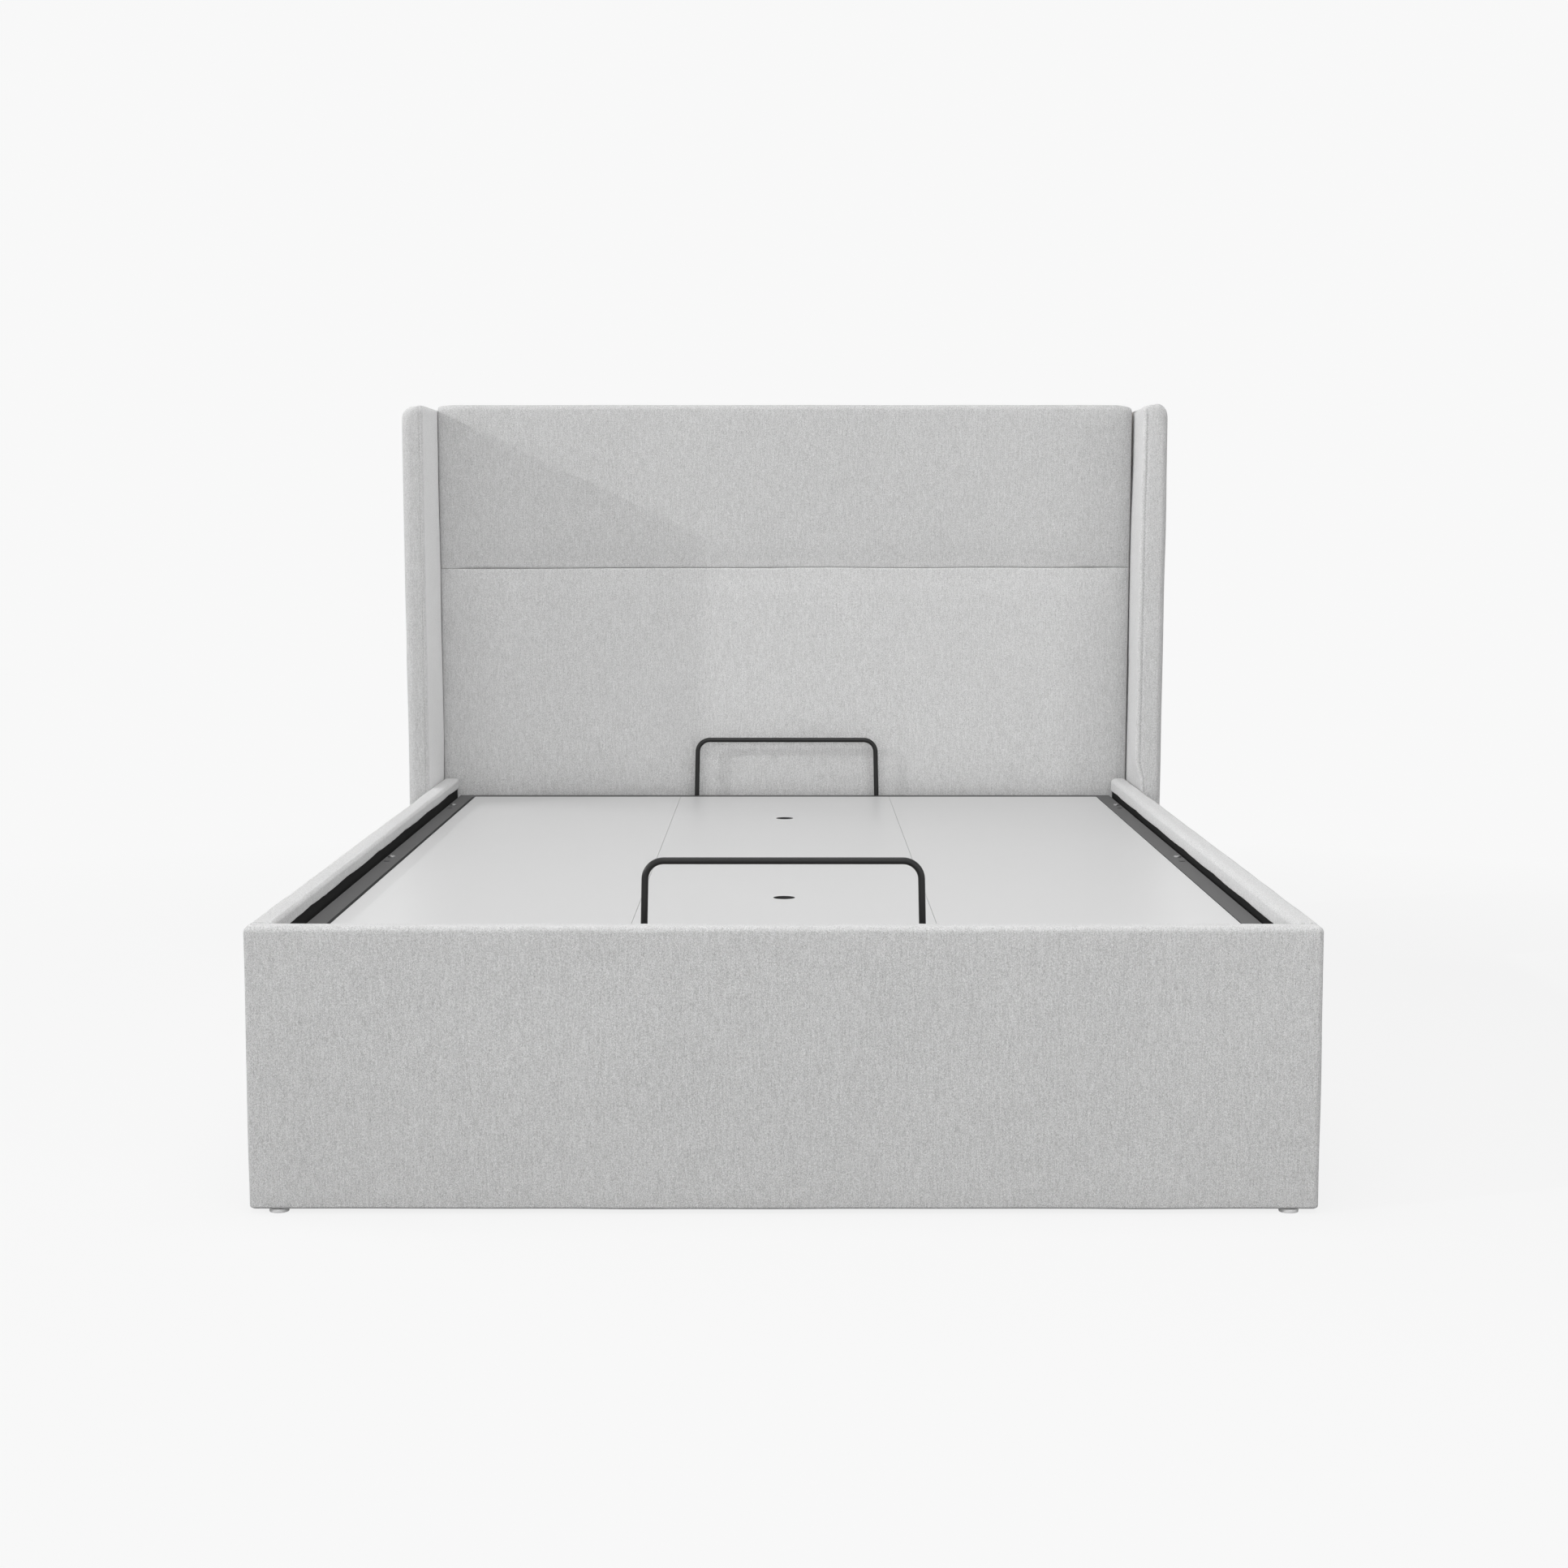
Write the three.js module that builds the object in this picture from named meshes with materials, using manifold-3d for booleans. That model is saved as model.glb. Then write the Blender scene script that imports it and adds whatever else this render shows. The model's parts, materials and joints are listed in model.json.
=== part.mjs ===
// Upholstered storage bed with a winged headboard and a lifting platform.
// Millimetres, +Z up. The foot end faces -Y, the headboard stands at +Y, and the glides stand on z = 0.
import * as THREE from 'three';
import { mergeVertices } from 'three/addons/utils/BufferGeometryUtils.js';
import Module from 'manifold-3d';

const wasm = await Module();
wasm.setup();

// Fits
const seatGap = 0.3;
const pinPlay = 0.4;
const openPivotPlay = 1.8;
const cutOverrun = 2;
const weldTolerance = 0.0001;

// Upholstered foot panel and side rails
const glideHeight = 6;
const glideRadius = 14;
const baseWidth = 1510;
const panelHeight = 404;
const panelThickness = 35;
const coverThickness = 5;
const flapDepth = 22;
const lowerFlapDepth = 15;
const panelCornerRadius = 12;
const panelFootRadius = 5;
const panelEdgeRadius = 4;
const railCornerRadius = 8;
const liningThickness = 1.7;

// Lifting platform
const footClearance = 30;
const platformLength = 1984;
const headClearance = 12;
const platformSideGap = 4.5;
const boardRecess = 35.4;
const boardThickness = 15;
const boardEdgeGap = 1.6;
const boardSeamGap = 0.8;
const boardStep = 1;
const fingerHoleRadius = 17.5;
const fingerHoleInset = 406;
const tubeWidth = 30;
const tubeHeight = 30;
const tubeWall = 1.5;
const footTubeWidth = 40;
const headTubeWidth = 38;
const ledgeWidth = 14;
const ledgeThickness = 3;
const crossTubeWidth = 40;
const crossTubeCount = 3;

// Mattress bars
const barRodRadius = 5;
const barBaseWidth = 394;
const barTopWidth = 387;
const barHeight = 120;
const barBendRadius = 30;
const headBarInset = 8;

// Headboard
const headboardHeight = 1222;
const seamHeight = 868;
const padThickness = 45;
const padTopThickness = 12;
const padTopRadius = 24;
const padBottomHeight = 326;
const padEdgeDrop = 9;
const padEdgeRoll = 26;
const padSeamDrop = 7;
const padSeamRoll = 24;
const padCrown = 3;
const headboardPanelThickness = 9;
const stileWidth = 54;
const timberThickness = 33;
const timberRailHeight = 66;
const timberFootHeight = 54;
const backLiningThickness = 2;

// Wings
const wingTopDrop = 14;
const wingThickness = 44.7;
const wingReach = 211;
const wingCoverThickness = 8;
const wingOuterRadius = 26;
const wingInnerRadius = 9;
const wingEdgeRadius = 7;

// Storage floor and corner blocks
const ledgerWidth = 25;
const ledgerHeight = 14;
const ledgerLift = 1;
const floorBoardThickness = 6;
const floorSeamGap = 1;
const centreBattenWidth = 40;
const centreBattenLift = 0.5;
const blockLeg = 60;
const blockNose = 17;
const blockLow = 60;
const blockHigh = 300;
const restBattenDepth = 36;
const restBattenHeight = 30;

// Lift linkage. Heights are above the storage bed's floor, lengths run from the foot panel's face
const platformPivotInset = 204;
const platformPivotDrop = 37.6;
const rearArmLength = 325;
const rearArmRise = THREE.MathUtils.degToRad(17);
const frontPivotBack = 32;
const frontPivotDrop = 64;
const frontArmLength = 459.26;
const frontArmRise = THREE.MathUtils.degToRad(22.6545);
const armHalfWidth = 16;
const armThickness = 5;
const basePlateThickness = 4;
const basePlateMargin = 30;
const topRailThickness = 3;
const topRailLength = 1000;
const topRailDepth = 28;
const topRailHeadInset = 119;
const earMargin = 20;
const pinRadius = 6;
const frontPinRadius = 5;
const bossRadius = 12;
const pinHeadRadius = 11;
const pinHeadThickness = 3;
const layerGap = 0.6;

// Gas struts
const strutPivotRadius = 222;
const strutFootHeight = 46;
const strutRadius = 11;
const strutWall = 1.5;
const strutTubeLength = 180;
const strutEndWall = 4;
const strutNeckLength = 6;
const strutNeckRadius = 6;
const strutGap = 1.2;
const rodRadius = 4;
const rodReach = 216;
const rodPlay = 0.8;
const pistonLength = 10;
const pistonPlay = 0.5;
const eyeRadius = 10;
const eyeWidth = 12;
const studRadius = 5;
const studHeadRadius = 8;
const studHeadThickness = 2.2;

// Bolts of the linkage
const boltRadius = 3;
const boltHeadRadius = 6;
const boltHeadThickness = 2.5;
const boltBite = 14;
const basePlateBoltReach = 45;
const tubeBoltInset = 10;
const tubeBoltEndInset = 81;
const tubeBoltTip = 5;

// Facets
const cornerSegments = 5;
const edgeSegments = 3;
const roundSegments = 24;
const rodSegments = 12;
const bendSegments = 6;

// Places that the rest follows
const halfWidth = baseWidth / 2;
const panelBottom = glideHeight;
const panelTop = glideHeight + panelHeight;
const railInner = halfWidth - panelThickness;
const railCoreInner = railInner + coverThickness + seatGap;
const railCoreOuter = halfWidth - coverThickness - seatGap;
const railFace = railInner + coverThickness - liningThickness;
const flapEdge = panelTop - flapDepth;
const railStart = panelThickness + seatGap;
const platformFoot = panelThickness + footClearance;
const platformHead = platformFoot + platformLength;
const padFace = platformHead + headClearance;
const railEnd = padFace - seatGap;
const padBack = padFace + padThickness;
const panelFront = padBack + seatGap;
const timberFront = panelFront + headboardPanelThickness + seatGap;
const liningFront = timberFront + timberThickness + seatGap;
const totalLength = liningFront + backLiningThickness;
const headboardTop = glideHeight + headboardHeight;
const timberTop = headboardTop - padTopThickness - seatGap;
const wingTop = headboardTop - wingTopDrop;
const headboardHalf = halfWidth - seatGap;
const footLiningFace = panelThickness - coverThickness + liningThickness;
const boardTop = panelTop - boardRecess;
const boardBottom = boardTop - boardThickness;
const frameTop = boardTop - boardStep;
const frameBottom = frameTop - tubeHeight;
const frameHalf = railInner - platformSideGap;
const frameInner = frameHalf - tubeWidth;
const boardsFoot = platformFoot + footTubeWidth + boardEdgeGap;
const boardsHead = platformHead - headTubeWidth - boardEdgeGap;
const boardsHalf = frameInner - boardEdgeGap;
const seamAt = boardsHalf / 3;
const ledgeTop = boardBottom - seatGap;
const floorBoardBottom = glideHeight + ledgerLift + ledgerHeight + seatGap;
const floorBoardTop = floorBoardBottom + floorBoardThickness;
const floorHead = panelFront - seatGap;

// Pivots of the lift linkage, as points in the Y-Z plane
const pivotPlatform = point(platformHead - platformPivotInset, frameBottom - platformPivotDrop);
const pivotRear = stepFrom(pivotPlatform, -rearArmLength, rearArmRise);
const pivotPlatformFront = point(pivotPlatform.y - frontPivotBack, pivotPlatform.z - frontPivotDrop);
const pivotFront = stepFrom(pivotPlatformFront, -frontArmLength, frontArmRise);
const strutFootAngle = -Math.asin((pivotRear.z - strutFootHeight) / strutPivotRadius);
const strutFoot = stepFrom(pivotRear, strutPivotRadius, strutFootAngle);
const strutTop = stepFrom(pivotRear, strutPivotRadius, rearArmRise);

// Layers of the linkage, as depths from the rail's lining towards the middle
const basePlateFace = seatGap + basePlateThickness;
const strutDepth = basePlateFace + strutGap + strutRadius;
const rearArmLayer = strutDepth + strutRadius + layerGap;
const topRailLayer = rearArmLayer + armThickness + layerGap;
const frontArmLayer = topRailLayer + topRailThickness + layerGap;

function point(y, z) {
  return { y, z };
}

function stepFrom(start, distance, angle) {
  return point(start.y + distance * Math.cos(angle), start.z + distance * Math.sin(angle));
}

// Solids

function toSolid(geometry) {
  const bare = new THREE.BufferGeometry();
  bare.setAttribute('position', geometry.getAttribute('position'));
  bare.setIndex(geometry.getIndex());
  const merged = mergeVertices(bare, weldTolerance);
  return new wasm.Manifold(new wasm.Mesh({
    numProp: 3,
    vertProperties: new Float32Array(merged.getAttribute('position').array),
    triVerts: new Uint32Array(merged.getIndex().array),
  }));
}

function toGeometry(solid) {
  const mesh = solid.getMesh();
  const geometry = new THREE.BufferGeometry();
  geometry.setAttribute('position', new THREE.BufferAttribute(new Float32Array(mesh.vertProperties), 3));
  geometry.setIndex(new THREE.BufferAttribute(new Uint32Array(mesh.triVerts), 1));
  geometry.computeVertexNormals();
  return geometry;
}

function cut(solid, ...tools) {
  return tools.reduce((rest, tool) => rest.subtract(tool), solid);
}

function join(solid, ...others) {
  return others.reduce((sum, other) => sum.add(other), solid);
}

function box(x0, x1, y0, y1, z0, z1) {
  const geometry = new THREE.BoxGeometry(x1 - x0, y1 - y0, z1 - z0);
  geometry.translate((x0 + x1) / 2, (y0 + y1) / 2, (z0 + z1) / 2);
  return toSolid(geometry);
}

function cylinderX(x0, x1, centre, radius) {
  const geometry = new THREE.CylinderGeometry(radius, radius, Math.abs(x1 - x0), roundSegments);
  geometry.rotateZ(Math.PI / 2);
  geometry.translate((x0 + x1) / 2, centre.y, centre.z);
  return toSolid(geometry);
}

function cylinderZ(x, y, z0, z1, radius) {
  const geometry = new THREE.CylinderGeometry(radius, radius, z1 - z0, roundSegments);
  geometry.rotateX(Math.PI / 2);
  geometry.translate(x, y, (z0 + z1) / 2);
  return toSolid(geometry);
}

function mirrored(solid) {
  const geometry = toGeometry(solid);
  geometry.applyMatrix4(new THREE.Matrix4().makeScale(-1, 1, 1));
  const index = geometry.getIndex();
  for (let i = 0; i < index.count; i += 3) {
    const first = index.getX(i);
    index.setX(i, index.getX(i + 1));
    index.setX(i + 1, first);
  }
  return toSolid(geometry);
}

// A rectangle with a radius of its own at each corner: low left, low right, high right, high left
function roundedRect(x0, z0, x1, z1, radii) {
  const [lowLeft, lowRight, highRight, highLeft] = radii;
  const shape = new THREE.Shape();
  shape.absarc(x1 - lowRight, z0 + lowRight, lowRight, -Math.PI / 2, 0, false);
  shape.absarc(x1 - highRight, z1 - highRight, highRight, 0, Math.PI / 2, false);
  shape.absarc(x0 + highLeft, z1 - highLeft, highLeft, Math.PI / 2, Math.PI, false);
  shape.absarc(x0 + lowLeft, z0 + lowLeft, lowLeft, Math.PI, Math.PI * 1.5, false);
  return shape;
}

function polygon(points) {
  return new THREE.Shape(points.map(([u, v]) => new THREE.Vector2(u, v)));
}

function extrude(shape, length, edge) {
  return new THREE.ExtrudeGeometry(shape, {
    depth: length - 2 * edge,
    steps: 1,
    curveSegments: cornerSegments,
    bevelEnabled: edge > 0,
    bevelThickness: edge,
    bevelSize: edge,
    bevelOffset: -edge,
    bevelSegments: edgeSegments,
  });
}

// The shape lies in X-Z and runs along Y; edge rounds the rims of both ends
function slabAlongY(shape, y0, y1, edge = 0) {
  const geometry = extrude(shape, y1 - y0, edge);
  geometry.rotateX(Math.PI / 2);
  geometry.translate(0, y1 - edge, 0);
  return toSolid(geometry);
}

// The shape lies in Y-Z and runs along X
function plateAlongX(shape, x0, x1) {
  const geometry = extrude(shape, x1 - x0, 0);
  const turn = new THREE.Matrix4().makeBasis(
    new THREE.Vector3(0, 1, 0),
    new THREE.Vector3(0, 0, 1),
    new THREE.Vector3(1, 0, 0),
  );
  geometry.applyMatrix4(turn);
  geometry.translate(x0, 0, 0);
  return toSolid(geometry);
}

// The shape lies in X-Y and runs along Z
function prismAlongZ(shape, z0, z1) {
  const geometry = extrude(shape, z1 - z0, 0);
  geometry.translate(0, 0, z0);
  return toSolid(geometry);
}

// The outline of a flat bar with round ends, in Y-Z
function linkShape(start, end, half) {
  const along = Math.atan2(end.z - start.z, end.y - start.y);
  const shape = new THREE.Shape();
  shape.absarc(end.y, end.z, half, along - Math.PI / 2, along + Math.PI / 2, false);
  shape.absarc(start.y, start.z, half, along + Math.PI / 2, along + Math.PI * 1.5, false);
  return shape;
}

// Skins a row of rings that have as many points each; outline is the same ring laid flat, for the caps
function loft(rings, outline) {
  const clockwise = THREE.ShapeUtils.isClockWise(outline);
  const loops = clockwise ? rings.map((ring) => [...ring].reverse()) : rings;
  const flat = clockwise ? [...outline].reverse() : outline;
  const count = flat.length;
  const positions = loops.flat().flatMap((p) => [p.x, p.y, p.z]);
  const index = [];
  for (let ring = 0; ring + 1 < loops.length; ring += 1) {
    for (let i = 0; i < count; i += 1) {
      const a = ring * count + i;
      const b = ring * count + ((i + 1) % count);
      index.push(a, b, b + count, a, b + count, a + count);
    }
  }
  const last = (loops.length - 1) * count;
  for (const [a, b, c] of THREE.ShapeUtils.triangulateShape(flat, [])) {
    index.push(a, c, b, last + a, last + b, last + c);
  }
  const geometry = new THREE.BufferGeometry();
  geometry.setAttribute('position', new THREE.Float32BufferAttribute(positions, 3));
  geometry.setIndex(index);
  return toSolid(geometry);
}

// A turned piece: its profile is [radius, distance] pairs along the line from start to end in Y-Z, at depth x
function turned(profile, x, start, end) {
  const points = profile.map(([radius, distance]) => new THREE.Vector2(radius, distance));
  const geometry = new THREE.LatheGeometry(points, roundSegments);
  geometry.rotateX(Math.atan2(end.z - start.z, end.y - start.y));
  geometry.translate(x, start.y, start.z);
  return toSolid(geometry);
}

// Foot panel

function footPanelCover() {
  const radii = [panelFootRadius, panelFootRadius, panelCornerRadius, panelCornerRadius];
  const outline = roundedRect(-halfWidth, panelBottom, halfWidth, panelTop, radii);
  const slab = slabAlongY(outline, 0, panelThickness, panelEdgeRadius);
  const hollow = box(
    -railCoreOuter - seatGap, railCoreOuter + seatGap,
    coverThickness, panelThickness - coverThickness,
    panelBottom + coverThickness, panelTop - coverThickness,
  );
  const window = box(
    -railInner, railInner,
    panelThickness / 2, panelThickness + cutOverrun,
    panelBottom + lowerFlapDepth, flapEdge,
  );
  return cut(slab, hollow, window);
}

function footPanelBoard() {
  return box(
    -railCoreOuter, railCoreOuter,
    coverThickness + seatGap, panelThickness - coverThickness - seatGap,
    panelBottom + coverThickness + seatGap, panelTop - coverThickness - seatGap,
  );
}

function footPanelLining() {
  return box(
    -railInner + seatGap, railInner - seatGap,
    panelThickness - coverThickness, footLiningFace,
    panelBottom + lowerFlapDepth + seatGap, flapEdge - seatGap,
  );
}

// Side rails, drawn for the right side and mirrored for the left

function railCover() {
  const radii = [panelFootRadius, panelFootRadius, railCornerRadius, railCornerRadius];
  const outline = roundedRect(railInner, panelBottom, halfWidth, panelTop, radii);
  const hollow = box(
    railCoreInner - seatGap, railCoreOuter + seatGap,
    railStart - cutOverrun, railEnd - coverThickness,
    panelBottom + coverThickness, panelTop - coverThickness,
  );
  const window = box(
    railInner - cutOverrun, railCoreInner + cutOverrun,
    railStart - cutOverrun, railEnd - coverThickness,
    panelBottom + coverThickness, flapEdge,
  );
  return cut(slabAlongY(outline, railStart, railEnd), hollow, window);
}

function railBoard() {
  return box(
    railCoreInner, railCoreOuter,
    railStart + seatGap, railEnd - coverThickness - seatGap,
    panelBottom + coverThickness + seatGap, panelTop - coverThickness - seatGap,
  );
}

function railLining() {
  return box(
    railFace, railFace + liningThickness,
    railStart + seatGap, railEnd - coverThickness - seatGap,
    panelBottom + coverThickness + seatGap, flapEdge - seatGap,
  );
}

// Headboard

// How far an edge at this distance draws back from the face, as a quarter ellipse
function drawnIn(distance, drop, reach) {
  const share = 1 - Math.min(Math.max(distance / reach, 0), 1);
  return drop * (1 - Math.sqrt(1 - share * share));
}

// Stations from low to high, close together where the pad rolls over at its ends
const rollShares = [0, 0.06, 0.2, 0.45, 1];
const spanShares = [0.2, 0.4, 0.6, 0.8];

function stationsAfterRoll(low, high, reach) {
  const start = rollShares.map((share) => low + share * reach);
  const middle = spanShares.map((share) => low + reach + share * (high - low - reach));
  return [...start, ...middle];
}

function padStations(low, high, reach) {
  const end = rollShares.map((share) => high - share * reach).reverse();
  return [...stationsAfterRoll(low, high - reach, reach), ...end];
}

function padFront(x, z, low, high) {
  const side = drawnIn(headboardHalf - Math.abs(x), padEdgeDrop, padEdgeRoll);
  const seam = drawnIn(z - low, padSeamDrop, padSeamRoll) + drawnIn(high - z, padSeamDrop, padSeamRoll);
  const crown = padCrown * ((2 * (z - low)) / (high - low) - 1) ** 2;
  return padFace + Math.max(side, seam, crown);
}

function padRings(outlineAt) {
  const rings = padStations(-headboardHalf, headboardHalf, padEdgeRoll).map((x) =>
    outlineAt(x).map(([y, z]) => new THREE.Vector3(x, y, z)));
  const flat = outlineAt(0).map(([y, z]) => new THREE.Vector2(y, z));
  return loft(rings, flat);
}

function lowerPad() {
  const low = padBottomHeight + glideHeight;
  const high = seamHeight + glideHeight - seatGap / 2;
  return padRings((x) => {
    const face = padStations(low, high, padSeamRoll).map((z) => [padFront(x, z, low, high), z]);
    return [[padBack, high], [padBack, low], ...face];
  });
}

function upperPad() {
  const low = seamHeight + glideHeight + seatGap / 2;
  const arcShares = [0, 0.25, 0.5, 0.75, 1];
  const back = totalLength - padTopThickness / 2;
  return padRings((x) => {
    const top = headboardTop - drawnIn(headboardHalf - Math.abs(x), padEdgeDrop, padEdgeRoll);
    const faceTop = top - padTopRadius;
    const face = stationsAfterRoll(low, faceTop, padSeamRoll)
      .map((z) => [padFront(x, z, low, headboardTop), z]);
    const corner = padFront(x, faceTop, low, headboardTop);
    const arc = arcShares.map((share) => {
      const turn = (share * Math.PI) / 2;
      return [corner + padTopRadius * (1 - Math.cos(turn)), faceTop + padTopRadius * Math.sin(turn)];
    });
    const rest = [[back, top], [totalLength, timberTop + seatGap], [padBack, timberTop + seatGap]];
    return [[padBack, low], ...face, ...arc, ...rest];
  });
}

function headboardPanel() {
  return box(
    -headboardHalf, headboardHalf,
    panelFront, panelFront + headboardPanelThickness,
    panelBottom + coverThickness, timberTop,
  );
}

function headboardStile() {
  return box(
    headboardHalf - stileWidth, headboardHalf,
    timberFront, timberFront + timberThickness,
    glideHeight + seatGap, timberTop,
  );
}

function headboardRail(bottom) {
  const half = headboardHalf - stileWidth - seatGap;
  return box(-half, half, timberFront, timberFront + timberThickness, bottom, bottom + timberRailHeight);
}

function backLining() {
  return box(
    -headboardHalf, headboardHalf,
    liningFront, totalLength,
    panelBottom + coverThickness, timberTop,
  );
}

// Wings, drawn for the right side

function wingCover() {
  const inner = halfWidth + seatGap;
  const outer = inner + wingThickness;
  const radii = [wingInnerRadius, wingInnerRadius, wingOuterRadius, wingInnerRadius];
  const outline = roundedRect(inner, panelBottom, outer, wingTop, radii);
  const slab = slabAlongY(outline, padFace - wingReach, totalLength, wingEdgeRadius);
  const hollow = box(
    inner + wingCoverThickness, outer - wingCoverThickness,
    padFace - wingReach + wingCoverThickness, totalLength - wingCoverThickness,
    panelBottom - cutOverrun, wingTop - wingOuterRadius,
  );
  return cut(slab, hollow);
}

function wingBoard() {
  const inner = halfWidth + seatGap;
  const inset = wingCoverThickness + seatGap;
  return box(
    inner + inset, inner + wingThickness - inset,
    padFace - wingReach + inset, totalLength - inset,
    panelBottom, wingTop - wingOuterRadius - seatGap,
  );
}

// Corner blocks, rest batten and storage floor

function footCornerBlock() {
  const side = railFace - seatGap;
  const front = footLiningFace + seatGap;
  const step = railInner - seatGap;
  return prismAlongZ(polygon([
    [side - blockLeg, front],
    [step, front],
    [step, railStart],
    [side, railStart],
    [side, front + blockLeg],
    [side - blockNose, front + blockLeg],
    [side - blockLeg, front + blockNose],
  ]), blockLow, blockHigh);
}

function headCornerBlock() {
  const side = railFace - seatGap;
  const step = railInner - seatGap;
  const end = padFace - padThickness;
  return prismAlongZ(polygon([
    [side - blockLeg, floorHead],
    [side - blockLeg, end + blockLeg - blockNose],
    [side - blockNose, end],
    [side, end],
    [side, railEnd - coverThickness - seatGap],
    [step, railEnd - coverThickness - seatGap],
    [step, floorHead],
  ]), blockLow, blockHigh);
}

function restBatten() {
  const half = railFace - seatGap - blockNose;
  const top = frameBottom - seatGap;
  const front = footLiningFace + seatGap;
  return box(-half, half, front, front + restBattenDepth, top - restBattenHeight, top);
}

function floorLedger() {
  const bottom = glideHeight + ledgerLift;
  const side = railInner - seatGap;
  return box(
    side - ledgerWidth, side,
    railStart, floorHead,
    bottom, bottom + ledgerHeight,
  );
}

function floorBoard() {
  return box(
    floorSeamGap / 2, railInner - seatGap,
    railStart, floorHead,
    floorBoardBottom, floorBoardTop,
  );
}

function centreBatten() {
  const half = centreBattenWidth / 2;
  return box(-half, half, railStart, floorHead, centreBattenLift, floorBoardBottom - seatGap);
}

function footGlide() {
  const x = halfWidth - panelCornerRadius - 2 * glideRadius;
  return cylinderZ(x, panelThickness / 2, 0, glideHeight - seatGap, glideRadius);
}

function headGlide() {
  const x = headboardHalf - stileWidth / 2;
  return cylinderZ(x, timberFront + timberThickness / 2, 0, glideHeight, glideRadius);
}

// Platform

function tubeProfile(u0, u1, v0, v1) {
  const outer = polygon([[u0, v0], [u1, v0], [u1, v1], [u0, v1]]);
  const inner = [
    [u0 + tubeWall, v0 + tubeWall],
    [u0 + tubeWall, v1 - tubeWall],
    [u1 - tubeWall, v1 - tubeWall],
    [u1 - tubeWall, v0 + tubeWall],
  ];
  outer.holes.push(new THREE.Path(inner.map(([u, v]) => new THREE.Vector2(u, v))));
  return outer;
}

function sideTube() {
  const foot = platformFoot + footTubeWidth + seatGap;
  const head = platformHead - headTubeWidth - seatGap;
  const tube = slabAlongY(tubeProfile(frameInner, frameHalf, frameBottom, frameTop), foot, head);
  const ledge = box(
    frameInner - ledgeWidth, frameInner + tubeWall / 2,
    foot, head,
    ledgeTop - ledgeThickness, ledgeTop,
  );
  return join(tube, ledge);
}

// A tube across the platform's end, with its ledge on the side that faces the boards
function endTube(y0, y1, ledgeAt, ledgeTo, legY) {
  const tube = plateAlongX(tubeProfile(y0, y1, frameBottom, frameTop), -frameHalf, frameHalf);
  const half = frameInner - ledgeWidth - seatGap;
  const ledge = box(-half, half, ledgeAt, ledgeTo, ledgeTop - ledgeThickness, ledgeTop);
  const holes = [-1, 1].map((side) => legHole(side, legY));
  return cut(join(tube, ledge), ...holes);
}

function footTube() {
  const inner = platformFoot + footTubeWidth;
  return endTube(platformFoot, inner, inner - tubeWall / 2, inner + ledgeWidth, footBarY());
}

function headTube() {
  const inner = platformHead - headTubeWidth;
  return endTube(inner, platformHead, inner - ledgeWidth, inner + tubeWall / 2, headBarY());
}

function crossTube(place) {
  const half = frameInner - ledgeWidth - seatGap;
  const shape = tubeProfile(place - crossTubeWidth / 2, place + crossTubeWidth / 2, frameBottom, ledgeTop);
  return plateAlongX(shape, -half, half);
}

function sideBoard() {
  return box(
    seamAt + boardSeamGap / 2, boardsHalf,
    boardsFoot, boardsHead,
    boardBottom, boardTop,
  );
}

function centreBoard() {
  const half = seamAt - boardSeamGap / 2;
  const board = box(-half, half, boardsFoot, boardsHead, boardBottom, boardTop);
  const holes = [boardsFoot + fingerHoleInset, boardsHead - fingerHoleInset].map((y) =>
    cylinderZ(0, y, boardBottom - cutOverrun, boardTop + cutOverrun, fingerHoleRadius));
  return cut(board, ...holes);
}

// Mattress bars

function footBarY() {
  return platformFoot + footTubeWidth / 2;
}

function headBarY() {
  return platformHead - headBarInset;
}

// Half the distance between a bar's legs at this height above its foot
function legHalf(height) {
  const share = height / (barHeight + tubeHeight);
  return (barBaseWidth + (barTopWidth - barBaseWidth) * share) / 2;
}

function legHole(side, y) {
  const below = frameBottom - cutOverrun;
  const above = frameTop + cutOverrun;
  const ring = (z) => circleRing(rodCentre(side, z), barRodRadius + pinPlay, legFrame(side));
  return loft([ring(below), ring(above)].map((points) => points.map((p) => p.setY(p.y + y))), flatCircle());
}

function rodCentre(side, z) {
  return new THREE.Vector3(side * legHalf(z - frameBottom), 0, z);
}

function legFrame(side) {
  const low = rodCentre(side, frameBottom);
  const high = rodCentre(side, frameTop);
  return high.sub(low).normalize();
}

function flatCircle() {
  const turns = Array.from({ length: rodSegments }, (_, i) => (i / rodSegments) * 2 * Math.PI);
  return turns.map((turn) => new THREE.Vector2(Math.cos(turn), Math.sin(turn)));
}

// A ring of points square to a direction that lies in the X-Z plane
function circleRing(centre, radius, direction) {
  const across = new THREE.Vector3(0, 1, 0);
  const up = new THREE.Vector3().crossVectors(across, direction);
  return flatCircle().map((p) => centre.clone()
    .addScaledVector(up, p.x * radius)
    .addScaledVector(across, p.y * radius));
}

// The rod's centre line from the left leg's foot over the top to the right leg's foot
function barPath() {
  const foot = frameBottom - seatGap;
  const top = boardTop + barHeight - barRodRadius;
  const corner = (side) => rodCentre(side, top);
  const bend = (side) => {
    const leg = legFrame(side).multiplyScalar(-barBendRadius);
    const start = corner(side).add(leg);
    const end = corner(side).add(new THREE.Vector3(-side * barBendRadius, 0, 0));
    const curve = new THREE.QuadraticBezierCurve3(start, softened(side, corner(side)), end);
    return curve.getPoints(bendSegments);
  };
  return [rodCentre(-1, foot), ...bend(-1), ...bend(1).reverse(), rodCentre(1, foot)];
}

// The bend's handle, a little inside the sharp corner so that the curve is close to an arc
function softened(side, corner) {
  const outwardShare = 0.08;
  const shift = barBendRadius * outwardShare;
  return corner.add(new THREE.Vector3(side * shift, 0, shift));
}

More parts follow.
